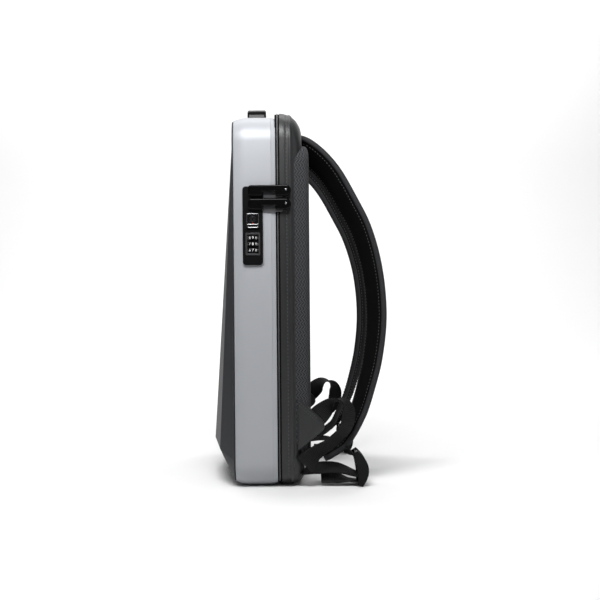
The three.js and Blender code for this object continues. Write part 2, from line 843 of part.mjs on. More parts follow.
function makeLockHousing() {
  const bore = runningGap;
  const plate = rounded(lockWidth, lockHeight, lockCornerRadius, lockProud - seamGap);
  let housing = plate.translate([halfWidth + seamGap, lockLine, lockCentreHeight]);
  housing = housing.add(lockBodyForm(0).intersect(block(
    new THREE.Vector3(0, -halfWidth, 0),
    new THREE.Vector3(lockFace, halfWidth, shellHeight),
  )));
  for (const number of [1, 2, 3]) {
    const centre = dialCentre(number);
    const reach = dialRadius + bore;
    const thick = dialThickness / 2 + bore;
    const pocket = block(
      new THREE.Vector3(centre.x - reach, centre.y - reach, centre.z - thick),
      new THREE.Vector3(lockFace + dialRadius, centre.y + reach, centre.z + thick),
    );
    housing = housing.subtract(pocket);
    const shaft = cylinderAlong('z', dialBore - bore, dialThickness * 2, centre);
    housing = housing.add(shaft);
  }
  const recess = rounded(bezelWidth + 2 * bore, bezelHeight + 2 * bore, bezelRecessRadius, lockProud);
  housing = housing.subtract(recess.translate([lockFace - bezelDepth - bore, lockLine, bezelCentreHeight()]));
  const slotBottom = buttonCentre - buttonHeight / 2 - buttonTravel - bore;
  const slotTop = buttonCentre + buttonHeight / 2 + bore;
  const slotFloor = lockFace + buttonProud - buttonDepth - bore;
  const slotHalf = buttonWidth / 2 + bore;
  housing = housing.subtract(block(
    new THREE.Vector3(slotFloor, lockLine - slotHalf, slotBottom),
    new THREE.Vector3(lockFace + lockProud, lockLine + slotHalf, slotTop),
  ));
  const keyCentre = new THREE.Vector3(lockFace + lockProud - keyDepth / 2 - bore, lockLine, keyHeight);
  const keyHole = keyDepth + 2 * lockProud - keyProud * 2;
  return housing.subtract(cylinderAlong('x', keyRadius + bore, keyHole, keyCentre));
}

function makeDialBezel() {
  const windowWidth = bezelWidth - 2 * bezelRim;
  const windowHeight = bezelHeight - 2 * bezelRim;
  const outer = rounded(bezelWidth, bezelHeight, bezelCornerRadius, bezelDepth + bezelProud);
  const inner = rounded(windowWidth, windowHeight, bezelWindowRadius, lockHeight);
  return outer.subtract(inner.translate([-lockHeight / 2, 0, 0]));
}

function makeReleaseButton() {
  return rounded(buttonWidth, buttonHeight, buttonCornerRadius, buttonDepth);
}

function makeKeyPlug() {
  const plug = cylinderAlong('x', keyRadius, keyDepth, new THREE.Vector3(-keyDepth / 2, 0, 0));
  const slot = block(
    new THREE.Vector3(-keySlotDepth, -keySlotWidth / 2, -keySlotLength / 2),
    new THREE.Vector3(keySlotDepth, keySlotWidth / 2, keySlotLength / 2),
  );
  return plug.subtract(slot);
}

// Zip sliders and pulls

function pullHeightAt(level) {
  return lockCentreHeight + lockHeight / 2 - pullTopDrop - level * pullPitch;
}

function makeZipperPull() {
  // A lever with a notch in its lower edge, through which the slider shows
  const shape = new THREE.Shape();
  const half = pullHeight / 2;
  const corner = half * pullCornerShare;
  const notch = pullNotchHeight - half;
  shape.moveTo(0, corner - half);
  shape.lineTo(corner, -half);
  shape.lineTo(pullNotchStart, -half);
  shape.lineTo(pullNotchStart, notch);
  shape.lineTo(pullNotchEnd, notch);
  shape.lineTo(pullNotchEnd, -half);
  shape.lineTo(pullLength - half, -half);
  shape.absarc(pullLength - half, 0, half, -Math.PI / 2, Math.PI / 2, false);
  shape.lineTo(corner, half);
  shape.lineTo(0, half - corner);
  shape.closePath();
  return sidePlate(shape, 0, pullThickness, 0, 0);
}

const sliderStart = lockLine + lockWidth / 2 + runningGap;
const sliderEnd = zipperFront + zipperWidth / 2 + sliderReach;

function makeZipperSlider() {
  return rounded(sliderEnd - sliderStart, sliderHeight, sliderCornerRadius, sliderThickness);
}

// Colours and finishes

const finishes = {
  silver: { color: 0xa9adb2, roughness: 0.38, metalness: 0.75 },
  panel: { color: 0x36383d, roughness: 0.55, metalness: 0.2 },
  zipTape: { color: 0x1a1a1c, roughness: 0.8, metalness: 0 },
  leather: { color: 0x3c3d40, roughness: 0.5, metalness: 0 },
  mesh: { color: 0x3a3b3e, roughness: 0.9, metalness: 0 },
  strap: { color: 0x1d1d20, roughness: 0.8, metalness: 0 },
  webbing: { color: 0x2a2a2d, roughness: 0.85, metalness: 0 },
  gloss: { color: 0x0d0d0f, roughness: 0.15, metalness: 0 },
  housing: { color: 0x17171a, roughness: 0.35, metalness: 0.1 },
  steel: { color: 0x8f9195, roughness: 0.3, metalness: 0.9 },
};

const backpack = new THREE.Group();

function addPiece(name, solid, finish, place) {
  const mesh = new THREE.Mesh(geometryOf(solid), new THREE.MeshStandardMaterial(finishes[finish]));
  mesh.name = name;
  if (place) {
    mesh.position.copy(place);
  }
  backpack.add(mesh);
}

addPiece('shell_frame', makeShellFrame(), 'silver');
addPiece('front_panel', makeFrontPanel(), 'panel');
addPiece('zipper_tape', makeZipperTape(), 'zipTape');
addPiece('rear_gusset', makeRearGusset(), 'leather');
addPiece('gusset_piping', makeGussetPiping(), 'leather');
addPiece('back_pad', makeBackPad(), 'mesh');

// The right-hand pieces, and their mirror images on the left
const pairs = [
  { name: 'wing', solid: makeWing(), finish: 'leather' },
  { name: 'shoulder_strap', solid: makeShoulderStrap(), finish: 'strap' },
  { name: 'loop_webbing', solid: makeLoopWebbing(), finish: 'webbing' },
  { name: 'anchor_webbing', solid: makeAnchorWebbing(), finish: 'webbing' },
  { name: 'strap_tail', solid: makeStrapTail(), finish: 'webbing' },
  { name: 'ladder_lock', solid: makeLadderLock(), finish: 'gloss' },
  { name: 'handle_mount', solid: makeHandleMount(), finish: 'gloss' },
];
for (const { name, solid, finish } of pairs) {
  addPiece(`${name}_right`, solid, finish);
  addPiece(`${name}_left`, solid.mirror([1, 0, 0]), finish);
}
addPiece('handle_grip', makeHandleGrip(), 'gloss');

addPiece('lock_housing', makeLockHousing(), 'housing');
const bezelPlace = new THREE.Vector3(lockFace - bezelDepth, lockLine, bezelCentreHeight());
addPiece('dial_bezel', makeDialBezel(), 'steel', bezelPlace);
for (const number of [1, 2, 3]) {
  addPiece(`dial_${number}`, makeDial(), 'gloss', dialCentre(number));
}
const buttonPlace = new THREE.Vector3(lockFace + buttonProud - buttonDepth, lockLine, buttonCentre);
addPiece('release_button', makeReleaseButton(), 'housing', buttonPlace);
const keyPlace = new THREE.Vector3(lockFace + keyProud, lockLine, keyHeight);
addPiece('key_plug', makeKeyPlug(), 'steel', keyPlace);

const levels = [
  { word: 'upper', level: 0 },
  { word: 'lower', level: 1 },
];
const pullStart = lockLine - pullOverlap;
for (const { word, level } of levels) {
  const height = pullHeightAt(level);
  const pullPlace = new THREE.Vector3(lockFace + runningGap, pullStart, height);
  addPiece(`zipper_pull_${word}`, makeZipperPull(), 'gloss', pullPlace);
  const sliderMiddle = (sliderStart + sliderEnd) / 2;
  const sliderFace = halfWidth + seamGap;
  const sliderPlace = new THREE.Vector3(sliderFace, sliderMiddle, height - sliderDrop);
  addPiece(`zipper_slider_${word}`, makeZipperSlider(), 'steel', sliderPlace);
}

export default backpack;
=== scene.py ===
import json
import logging
import math
from dataclasses import dataclass, field
from enum import Enum

import bmesh
import bpy
import numpy as np
from mathutils import Matrix


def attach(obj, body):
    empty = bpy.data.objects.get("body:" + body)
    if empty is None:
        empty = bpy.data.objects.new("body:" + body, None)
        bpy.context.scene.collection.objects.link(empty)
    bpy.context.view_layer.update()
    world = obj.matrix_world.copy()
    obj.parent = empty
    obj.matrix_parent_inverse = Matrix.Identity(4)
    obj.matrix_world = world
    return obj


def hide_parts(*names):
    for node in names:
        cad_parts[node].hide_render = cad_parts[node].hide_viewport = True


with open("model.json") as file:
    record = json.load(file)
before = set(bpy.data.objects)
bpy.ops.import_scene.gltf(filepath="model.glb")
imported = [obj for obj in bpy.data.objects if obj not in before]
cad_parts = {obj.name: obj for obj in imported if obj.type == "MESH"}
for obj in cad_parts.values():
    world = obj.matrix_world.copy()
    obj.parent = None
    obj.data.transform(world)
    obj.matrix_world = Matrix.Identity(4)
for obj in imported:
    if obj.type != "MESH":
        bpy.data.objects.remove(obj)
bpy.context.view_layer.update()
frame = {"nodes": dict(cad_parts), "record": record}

# Lengths are in millimetres, and in the studio in metres

Array = np.ndarray
MM = 0.001
BODY = "bag"
LOG = logging.getLogger("backpack")
SHARP_ANGLE = math.radians(38)
CORNER_POINTS = 14
RUN_POINTS = 16
LEAST_CORNER = 0.5
FLAT_POINTS = 9
EDGE_POINTS = 7
TUBE_POINTS = 16
STITCH_STATIONS = 5
STITCH_SIDES = 5
STITCH_END = 0.97


class Slot(Enum):
    """The record's material slots."""

    SILVER = "silver_shell"
    PANEL = "dark_panel"
    ZIP = "zip_tape"
    GUSSET = "gusset_leather"
    MESH = "back_mesh"
    STRAP = "strap_fabric"
    WEBBING = "webbing"
    GLOSS = "gloss_black"
    LOCK = "lock_plastic"
    LOCK_METAL = "lock_metal"
    DIAL = "dial_black"
    SLIDER = "slider_metal"


class Side(Enum):
    """The two sides of the bag, with the sign of their X."""

    RIGHT = 1
    LEFT = -1

    @property
    def word(self) -> str:
        """Side as it stands in a piece's name."""
        return self.name.lower()


# Meshes from grids of points


def unit(vectors: Array) -> Array:
    """Scales each row of vectors to length one."""
    return vectors / np.maximum(np.linalg.norm(vectors, axis=-1, keepdims=True), 1e-12)


def smooth_route(rows: Array, count: int) -> Array:
    """Samples a smooth curve through points.

    The curve is a Catmull-Rom cubic between each two points, with the square root of their distance
    as the parameter, so it neither loops nor overshoots where points stand close.

    Args:
        rows: points that the curve passes, one a row.
        count: number of samples.

    Returns:
        The samples, one a row.
    """
    ends = np.vstack([2 * rows[0] - rows[1], rows, 2 * rows[-1] - rows[-2]])
    place = np.linspace(0, len(rows) - 1, count)
    span = np.minimum(place.astype(int), len(rows) - 2)
    t = (place - span)[:, None]
    p0, p1, p2, p3 = (ends[span + i] for i in range(4))
    d0, d1, d2 = (
        np.sqrt(np.maximum(np.linalg.norm(b - a, axis=1, keepdims=True), 1e-9))
        for a, b in ((p0, p1), (p1, p2), (p2, p3))
    )
    m1 = ((p1 - p0) / d0 - (p2 - p0) / (d0 + d1) + (p2 - p1) / d1) * d1
    m2 = ((p2 - p1) / d1 - (p3 - p1) / (d1 + d2) + (p3 - p2) / d2) * d1
    return (
        (2 * t**3 - 3 * t**2 + 1) * p1
        + (t**3 - 2 * t**2 + t) * m1
        + (3 * t**2 - 2 * t**3) * p2
        + (t**3 - t**2) * m2
    )


def signed_volume(points: Array, faces: list[list[int]]) -> float:
    """Volume of a closed mesh, negative when its faces look inwards.

    It is a sixth of the sum, over the triangles of a fan in each face, of the triple product of
    their corners.

    Args:
        points: vertices, one a row.
        faces: corners of each face.

    Returns:
        The volume.
    """
    fans = np.array([(f[0], f[i], f[i + 1]) for f in faces for i in range(1, len(f) - 1)])
    a, b, c = points[fans[:, 0]], points[fans[:, 1]], points[fans[:, 2]]
    return float(np.einsum("ij,ij->", a, np.cross(b, c)) / 6)


def make_object(
    name: str, points: Array, faces: list[list[int]], uvs: Array | None = None
) -> bpy.types.Object:
    """Makes a smooth-shaded object from vertices in millimetres.

    Args:
        name: the piece's name.
        points: vertices in millimetres, one a row.
        faces: corners of each face.
        uvs: one pair for each face corner, in the order of the faces, or None.

    Returns:
        The object, linked into the scene.
    """
    mesh = bpy.data.meshes.new(name)
    mesh.from_pydata((points * MM).tolist(), [], faces)
    if uvs is not None:
        layer = mesh.uv_layers.new(name="surface")
        layer.data.foreach_set("uv", np.asarray(uvs, float).ravel())
    mesh.validate()
    mesh.shade_smooth()
    mesh.set_sharp_from_angle(angle=SHARP_ANGLE)
    thing = bpy.data.objects.new(name, mesh)
    bpy.context.scene.collection.objects.link(thing)
    return thing


def grid_object(name: str, points: Array, ring: bool = False, uv: Array | None = None) -> bpy.types.Object:
    """Skins a grid of closed sections, each a row, into one closed body.

    Neighbouring points of neighbouring sections make a quad. A ring joins its last section to its
    first. Otherwise each end is closed by a fan to the section's middle.

    Args:
        name: the piece's name.
        points: sections by points by three, in millimetres.
        ring: whether the sections run round in a closed ring.
        uv: surface coordinates, with one more column (and, on a ring, one more row) than points.

    Returns:
        The object.
    """
    rows, columns, _ = points.shape
    bands = rows if ring else rows - 1
    r, c = np.meshgrid(np.arange(bands), np.arange(columns), indexing="ij")
    r, c = r.ravel(), c.ravel()
    near, far = r * columns, ((r + 1) % rows) * columns
    after = (c + 1) % columns
    quads = np.stack([near + c, near + after, far + after, far + c], axis=1)
    corners = [(r, c), (r, c + 1), (r + 1, c + 1), (r + 1, c)]
    vertices = points.reshape(-1, 3)
    faces = quads.tolist()
    pairs = None if uv is None else np.stack([uv[i, j] for i, j in corners], axis=1).reshape(-1, 2)
    if not ring:
        middles = np.stack([points[0].mean(0), points[-1].mean(0)])
        first = len(vertices)
        vertices = np.vstack([vertices, middles])
        i = np.arange(columns)
        j = (i + 1) % columns
        last = (rows - 1) * columns
        faces += np.stack([np.full(columns, first), j, i], axis=1).tolist()
        faces += np.stack([np.full(columns, first + 1), last + i, last + j], axis=1).tolist()
        if pairs is not None:
            ends = []
            for row, order in ((0, (i + 1, i)), (rows - 1, (i, i + 1))):
                hub = np.broadcast_to(uv[row].mean(0), (columns, 2))
                ends.append(np.stack([hub, uv[row, order[0]], uv[row, order[1]]], axis=1).reshape(-1, 2))
            pairs = np.vstack([pairs, *ends])
    if signed_volume(vertices, faces) < 0:
        faces = [face[::-1] for face in faces]
        if pairs is not None:
            sizes = np.array([len(face) for face in faces])
            starts = np.cumsum(sizes) - sizes
            flipped = np.concatenate([np.arange(s + n - 1, s - 1, -1) for s, n in zip(starts, sizes)])
            pairs = pairs[flipped]
    return make_object(name, vertices, faces, pairs)


def round_profile(corners: Array | list[tuple[float, float, float]], steps: int = 5) -> Array:
    """Closed profile with each corner rounded by a quadratic arc.

    Each corner point is replaced by the curve from a point that far before it to a point that far
    after it, with the corner itself as the middle control point.

    Args:
        corners: first value, second value and rounding of each corner.
        steps: points on each rounding.

    Returns:
        The profile, one point a row.
    """
    table = np.array(corners)
    spots, reach = table[:, :2], table[:, 2:3]
    before = unit(np.roll(spots, 1, axis=0) - spots)
    after = unit(np.roll(spots, -1, axis=0) - spots)
    t = np.linspace(0, 1, steps)[None, :, None]
    start, end = (spots + before * reach)[:, None], (spots + after * reach)[:, None]
    curve = (1 - t) ** 2 * start + 2 * t * (1 - t) * spots[:, None] + t**2 * end
    return curve.reshape(-1, 2)


def outline_grid(half: Array, bottom: Array, top: Array, radius: Array) -> tuple[Array, Array]:
    """Rounded rectangles in the plane across Y, all with the same number of points.

    Each corner is a quarter circle and each straight run is shared out evenly between the ends of
    its two corners, so that point i of one outline faces point i of every other.

    Args:
        half: half width of each outline.
        bottom: height of its lower edge.
        top: height of its upper edge.
        radius: radius of its corners.

    Returns:
        Points, as outlines by points by (x, z), and the outward direction at each point.
    """
    half, bottom, top, radius = (np.asarray(v, float)[:, None] for v in (half, bottom, top, radius))
    corner = [(1, 0, -90), (1, 1, 0), (-1, 1, 90), (-1, 0, 180)]
    pieces, turns = [], []
    for index, (sign, high, turn) in enumerate(corner):
        angle = np.radians(turn + np.linspace(0, 90, CORNER_POINTS))[None]
        x = sign * (half - radius) + radius * np.cos(angle)
        z = np.where(high, top - radius, bottom + radius) + radius * np.sin(angle)
        next_sign, next_high, next_turn = corner[(index + 1) % 4]
        far = math.radians(next_turn)
        far_x = next_sign * (half - radius) + radius * math.cos(far)
        far_z = np.where(next_high, top - radius, bottom + radius) + radius * math.sin(far)
        mix = np.linspace(0, 1, RUN_POINTS + 2)[None, 1:-1]
        run_x = x[:, -1:] * (1 - mix) + far_x * mix
        run_z = z[:, -1:] * (1 - mix) + far_z * mix
        pieces += [np.stack([x, z], axis=-1), np.stack([run_x, run_z], axis=-1)]
        turns += [angle[0], np.full(RUN_POINTS, far)]
    turn = np.concatenate(turns)
    return np.concatenate(pieces, axis=1), np.stack([np.cos(turn), np.sin(turn)], axis=-1)


def ring_points(
    insets: Array, depths: Array, half: float, bottom: float, top: float, radius: float
) -> Array:
    """Carries a profile round a rounded rectangle.

    A profile point's first value moves the outline inwards by that much, and its second value is
    its place along Y.

    Args:
        insets: how far inside the outline each profile point lies.
        depths: the Y of each profile point.
        half: half width of the outline.
        bottom: height of its lower edge.
        top: height of its upper edge.
        radius: radius of its corners.

    Returns:
        Grid of profile points by outline points by three.
    """
    corners = np.maximum(radius - insets, LEAST_CORNER)
    flat, _ = outline_grid(half - insets, bottom + insets, top - insets, corners)
    y = np.broadcast_to(np.asarray(depths)[:, None], flat.shape[:2])
    return np.stack([flat[..., 0], y, flat[..., 1]], axis=-1)


def band_frames(route: Array, faces: Array) -> tuple[Array, Array, Array]:
    """Directions that go with a flat band along a route.

    Across is the cross product of the wanted face direction and the run, and the true face
    direction is the cross product of the run and across.

    Args:
        route: middle line, one point a row.
        faces: direction that the broad face looks in at each point.

    Returns:
        Unit vectors along, across and out of the face, one a row each.
    """
    along = unit(np.gradient(route, axis=0))
    across = unit(np.cross(faces, along))
    return along, across, np.cross(along, across)


def arc_lengths(route: Array) -> Array:
    """Distance along a route at each of its points."""
    return np.concatenate([[0], np.cumsum(np.linalg.norm(np.diff(route, axis=0), axis=1))])


def sections_along(route: Array, across: Array, face: Array, a: Array, b: Array) -> Array:
    """Grid of sections, whose points lie a across and b out of the face from the route."""
    return route[:, None] + a[..., None] * across[:, None] + b[..., None] * face[:, None]


def band_map(a: Array, route: Array) -> Array:
    """Surface coordinates of a band, with the first column again behind the last.

    Args:
        a: distance across at each point of each section.
        route: middle line.

    Returns:
        Metres across and metres along.
    """
    u = np.concatenate([a, a[:, :1]], axis=1)
    v = np.broadcast_to(arc_lengths(route)[:, None], u.shape)
    return np.stack([u, v], axis=-1) * MM


def band_object(
    name: str, route: Array, faces: Array, widths: Array, thickness: float, edge: float
) -> bpy.types.Object:
    """Flat band with rounded edges, such as webbing.

    Its section is a rounded rectangle, half the width across and half the thickness out of the
    face, carried along the route.

    Args:
        name: the piece's name.
        route: middle line.
        faces: direction that the broad face looks in at each point.
        widths: width at each point.
        thickness: thickness of the band.
        edge: rounding of the section's corners.

    Returns:
        The object. Its surface coordinates are metres across and metres along.
    """
    _, across, face = band_frames(route, faces)
    side = thickness / 2
    flat = np.linspace(-1, 1, FLAT_POINTS)[1:-1]
    turn = np.linspace(-math.pi / 2, math.pi / 2, EDGE_POINTS)
    height = (side - edge) * np.sign(turn) + edge * np.sin(turn)
    right = np.stack([np.ones(EDGE_POINTS), edge * (np.cos(turn) - 1), height])
    upper = np.stack([-flat, 0 * flat, side + 0 * flat])
    section = np.concatenate([right, upper, -right, -upper], axis=1)
    half = widths[:, None] / 2
    a = section[0] * half + section[1]
    b = np.broadcast_to(section[2], a.shape)
    return grid_object(name, sections_along(route, across, face, a, b), uv=band_map(a, route))


def tube_object(
    name: str, route: Array, radius: float, look: tuple[float, float, float]
) -> bpy.types.Object:
    """Round bar along a route.

    Its section is a circle, and its ends are flat.

    Args:
        name: the piece's name.
        route: middle line.
        radius: radius of the bar.
        look: any direction that isn't along the route.

    Returns:
        The object.
    """
    _, across, face = band_frames(route, np.broadcast_to(np.array(look), route.shape))
    turn = np.linspace(0, 2 * math.pi, TUBE_POINTS, endpoint=False)
    a, b = radius * np.cos(turn), radius * np.sin(turn)
    return grid_object(name, sections_along(route, across, face, a, b))


def stitch_object(
    name: str, centres: Array, along: Array, out: Array, length: float, radius: float
) -> bpy.types.Object:
    """Row of thread stitches, each a short bead sunk at both ends.

    A stitch is a bead whose radius falls as the square root of one minus the square of the distance
    from its middle, bent down towards its ends.

    Args:
        name: the piece's name.
        centres: middle of each stitch.
        along: direction in which each one lies.
        out: direction in which it stands out.
        length: length of a stitch.
        radius: radius of its thread.

    Returns:
        The object, which holds all the stitches.
    """
    stations, sides = np.linspace(-STITCH_END, STITCH_END, STITCH_STATIONS), STITCH_SIDES
    turn = np.linspace(0, 2 * math.pi, sides, endpoint=False)
    thick = radius * np.sqrt(1 - stations**2)
    run = np.repeat(stations * length / 2, sides)
    wide = (thick[:, None] * np.cos(turn)).ravel()
    rise = (thick[:, None] * np.sin(turn)).ravel() - np.repeat(stations**2 * radius, sides)
    across = unit(np.cross(along, out))
    points = (
        centres[:, None]
        + run[None, :, None] * along[:, None]
        + wide[None, :, None] * across[:, None]
        + rise[None, :, None] * out[:, None]
    )
    r, c = np.meshgrid(np.arange(len(stations) - 1), np.arange(sides), indexing="ij")
    r, c = r.ravel() * sides, c.ravel()
    after = (c + 1) % sides
    quads = np.stack([r + c, r + sides + c, r + sides + after, r + after], axis=1)
    last = (len(stations) - 1) * sides
    base = (np.arange(len(centres)) * len(stations) * sides)[:, None]
    faces = (quads[None] + base[..., None]).reshape(-1, 4).tolist()
    faces += (np.arange(sides)[None] + base).tolist()
    faces += (last + np.arange(sides)[::-1][None] + base).tolist()
    vertices = points.reshape(-1, 3)
    if signed_volume(vertices, faces) < 0:
        faces = [face[::-1] for face in faces]
    return make_object(name, vertices, faces)


def mirrored(points: Array, side: Side) -> Array:
    """Points of the right-hand piece, or their mirror image on the left."""
    return points * np.array([side.value, 1, 1])


def finish_piece(
    piece: bpy.types.Object,
    material: bpy.types.Material,
    node: str | None = None,
    body: str | None = None,
) -> None:
    """Gives a piece its body, slot and finish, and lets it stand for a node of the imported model.

    Args:
        piece: the new piece.
        material: its finish.
        node: node that it replaces, or None.
        body: body that it rides on, or None for the node's own, else the bag.
    """
    piece.data.materials.clear()
    piece.data.materials.append(material)
    bodies = frame["record"]["behaviour"]["bodies"]
    body = body or next((b for b, nodes in bodies.items() if node in nodes), BODY)
    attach(piece, body)
    if node:
        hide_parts(node)
    LOG.info("%s on %s, %d faces", piece.name, body, len(piece.data.polygons))


# Finishes


class Graph:
    """Builder for a material's shader nodes."""

    def __init__(self, name: str) -> None:
        """Starts a material with its shader.

        Args:
            name: the material's name.
        """
        self.material = bpy.data.materials.new(name)
        self.material.use_nodes = True
        self.nodes = self.material.node_tree.nodes
        self.links = self.material.node_tree.links
        self.shader = self.nodes["Principled BSDF"]

    def node(self, kind: str, inputs: dict, **options: object) -> bpy.types.Node:
        """Adds a node.

        Args:
            kind: node type.
            inputs: value or linked socket for each input, by its name or number.
            options: the node's own settings.

        Returns:
            The node.
        """
        made = self.nodes.new(kind)
        for key, value in options.items():
            setattr(made, key, value)
        for key, value in inputs.items():
            if isinstance(value, bpy.types.NodeSocket):
                self.links.new(value, made.inputs[key])
            else:
                made.inputs[key].default_value = value
        return made

    def maths(self, operation: str, *terms: object) -> bpy.types.NodeSocket:
        """Result of one arithmetic step."""
        return self.node("ShaderNodeMath", dict(enumerate(terms)), operation=operation).outputs[0]


@dataclass(frozen=True)
class Finish:
    """Surface of a material, as constants and the fine relief that belongs to it.

    Lengths are in millimetres. The weave is two sets of threads that cross, each a sine of the
    distance along a diagonal or straight direction of the surface coordinates. With a chevron, the
    first set zigzags to and fro over that distance instead, and the second only breaks it up.
    """

    name: str
    colour: tuple[float, float, float]
    roughness: float = 0.5
    metallic: float = 0.0
    specular: float = 0.5
    sheen: float = 0.0
    sheen_roughness: float = 0.4
    grain: float = 0.0
    grain_size: float = 1.0
    mottle: float = 0.0
    mottle_scale: float = 260.0
    weave: float = 0.0
    weave_turn: float = 45.0
    weave_depth: float = 0.3
    weave_shade: float = 0.5
    chevron: float = 0.0
    chevron_rate: float = 0.77
    chevron_break: float = 0.35

    def build(self) -> bpy.types.Material:
        """Makes the material.

        Grain is noise on Object coordinates, as relief. Mottle is coarser noise that darkens and
        lightens the colour. The weave gives both relief and shade.

        Returns:
            The material.
        """
        graph = Graph(self.name)
        shader = graph.shader.inputs
        shader["Roughness"].default_value = self.roughness
        shader["Metallic"].default_value = self.metallic
        shader["Specular IOR Level"].default_value = self.specular
        shader["Sheen Weight"].default_value = self.sheen
        shader["Sheen Roughness"].default_value = self.sheen_roughness
        base = (*self.colour, 1.0)
        shader["Base Color"].default_value = base
        place = graph.node("ShaderNodeTexCoord", {})
        shade, height = None, None
        if self.grain:
            inputs = {"Vector": place.outputs["Object"], "Scale": 1 / (self.grain_size * MM), "Detail": 2.0}
            noise = graph.node("ShaderNodeTexNoise", inputs).outputs["Fac"]
            height = graph.maths("MULTIPLY", noise, self.grain)
        if self.mottle:
            inputs = {"Vector": place.outputs["Object"], "Scale": self.mottle_scale, "Detail": 3.0}
            noise = graph.node("ShaderNodeTexNoise", inputs).outputs["Fac"]
            shade = graph.maths("MULTIPLY_ADD", noise, 2 * self.mottle, 1 - self.mottle)
        if self.weave:
            threads = self.threads(graph, place.outputs["UV"])
            relief = graph.maths("MULTIPLY", threads, self.weave_depth)
            height = relief if height is None else graph.maths("ADD", height, relief)
            dark = graph.maths("MULTIPLY_ADD", threads, self.weave_shade, 1 - self.weave_shade)
            shade = dark if shade is None else graph.maths("MULTIPLY", shade, dark)
        if shade is not None:
            inputs = {"Fac": 1.0, "Color1": base, "Color2": shade}
            mixed = graph.node("ShaderNodeMixRGB", inputs, blend_type="MULTIPLY")
            graph.links.new(mixed.outputs[0], shader["Base Color"])
        if height is not None:
            metres = graph.maths("MULTIPLY", height, MM)
            bump = graph.node("ShaderNodeBump", {"Height": metres, "Distance": 1.0, "Strength": 1.0})
            graph.links.new(bump.outputs[0], shader["Normal"])
        return graph.material

    def threads(self, graph: Graph, place: bpy.types.NodeSocket) -> bpy.types.NodeSocket:
        """Height of the crossing threads.

        It is half of one plus the product of two sines, each of the distance in one of two
        directions at right angles, in turns of the pitch. With a chevron, the first distance has
        its zigzag added, and the second sine only takes away a share.

        Args:
            graph: the material's builder.
            place: surface coordinates in metres.

        Returns:
            Height from nought to one.
        """
        turn = math.radians(self.weave_turn)
        inputs = {"Vector": place, "Angle": turn}
        spin = graph.node("ShaderNodeVectorRotate", inputs, rotation_type="Z_AXIS")
        parts = graph.node("ShaderNodeSeparateXYZ", {"Vector": spin.outputs[0]})
        rate = 2 * math.pi / (self.weave * MM)
        first, second = parts.outputs[0], parts.outputs[1]
        if self.chevron:
            zigzag = graph.maths("PINGPONG", second, self.chevron * MM / 2)
            first = graph.maths("ADD", first, zigzag)
            rows = graph.maths("SINE", graph.maths("MULTIPLY", second, rate * self.chevron_rate))
            stroke = graph.maths("SINE", graph.maths("MULTIPLY", first, rate))
            share = self.chevron_break
            broken = graph.maths("MULTIPLY", stroke, graph.maths("MULTIPLY_ADD", rows, share, 1 - share))
            return graph.maths("MULTIPLY_ADD", broken, 0.5, 0.5)
        waves = [graph.maths("SINE", graph.maths("MULTIPLY", term, rate)) for term in (first, second)]
        return graph.maths("MULTIPLY_ADD", graph.maths("MULTIPLY", *waves), 0.5, 0.5)


@dataclass(frozen=True)
class Wardrobe:
    """All the finishes of the bag, by slot."""

    finishes: dict[Slot, Finish] = field(
        default_factory=lambda: {
            Slot.SILVER: Finish(
                "silver paint", (0.335, 0.345, 0.365), 0.46, 0.2, specular=0.2, grain=0.006,
                grain_size=0.5,
            ),
            Slot.PANEL: Finish(
                "dark panel", (0.024, 0.025, 0.029), 0.5, specular=0.14, grain=0.02, grain_size=0.6,
            ),
            Slot.ZIP: Finish("zip tape", (0.003, 0.003, 0.003), 0.8, specular=0.04),
            Slot.GUSSET: Finish(
                "coated leather", (0.011, 0.0114, 0.0123), 0.42, specular=0.5, grain=0.1,
                grain_size=1.1, mottle=0.25,
            ),
            Slot.MESH: Finish(
                "spacer mesh", (0.066, 0.068, 0.073), 0.95, specular=0.05, sheen=0.05, weave=3.7,
                weave_turn=0.0, weave_depth=0.6, weave_shade=0.86, chevron=7.4,
            ),
            Slot.STRAP: Finish(
                "strap cloth", (0.006, 0.006, 0.0065), 0.9, specular=0.04, weave=1.8, weave_depth=0.2,
                weave_shade=0.4,
            ),
            Slot.WEBBING: Finish(
                "webbing", (0.02, 0.02, 0.021), 0.7, specular=0.1, weave=3.0, weave_depth=0.5,
                weave_shade=0.85,
            ),
            Slot.GLOSS: Finish("gloss plastic", (0.002, 0.002, 0.0022), 0.18, specular=0.14),
            Slot.LOCK: Finish("lock plastic", (0.0035, 0.0035, 0.004), 0.3, specular=0.16),
            Slot.LOCK_METAL: Finish("lock metal", (0.13, 0.132, 0.138), 0.3, 0.9),
            Slot.DIAL: Finish("dial plastic", (0.003, 0.003, 0.0035), 0.25, specular=0.2),
            Slot.SLIDER: Finish("slider metal", (0.13, 0.132, 0.138), 0.32, 0.8),
        }
    )
    thread: Finish = Finish("thread", (0.07, 0.07, 0.074), 0.6, specular=0.2)
    binding: Finish = Finish(
        "edge binding", (0.026, 0.026, 0.028), 0.7, specular=0.1, grain=0.1, grain_size=0.8
    )
    teeth: Finish = Finish("zip teeth", (0.06, 0.06, 0.062), 0.35, specular=0.6)
    key: Finish = Finish("key plug", (0.02, 0.02, 0.022), 0.25, 0.5)
    # Bright metal of the rims and studs. On the button's rim and the pull studs it stands in for
    # highlights: painted highlight.
    rim: Finish = Finish("bright metal", (0.3, 0.305, 0.315), 0.25, 0.9)
    digit: Finish = Finish("dial numbers", (0.8, 0.8, 0.8), 0.6)
    dot: Finish = Finish("red dot", (0.55, 0.02, 0.02), 0.5)
    made: dict[str, bpy.types.Material] = field(default_factory=dict)

    def of(self, finish: Slot | Finish) -> bpy.types.Material:
        """Material of a slot or of a single finish, made once.

        Args:
            finish: slot of the record, or a finish of its own.

        Returns:
            The material.
        """
        wanted = self.finishes[finish] if isinstance(finish, Slot) else finish
        if wanted.name not in self.made:
            self.made[wanted.name] = wanted.build()
        return self.made[wanted.name]


# Sub-assemblies


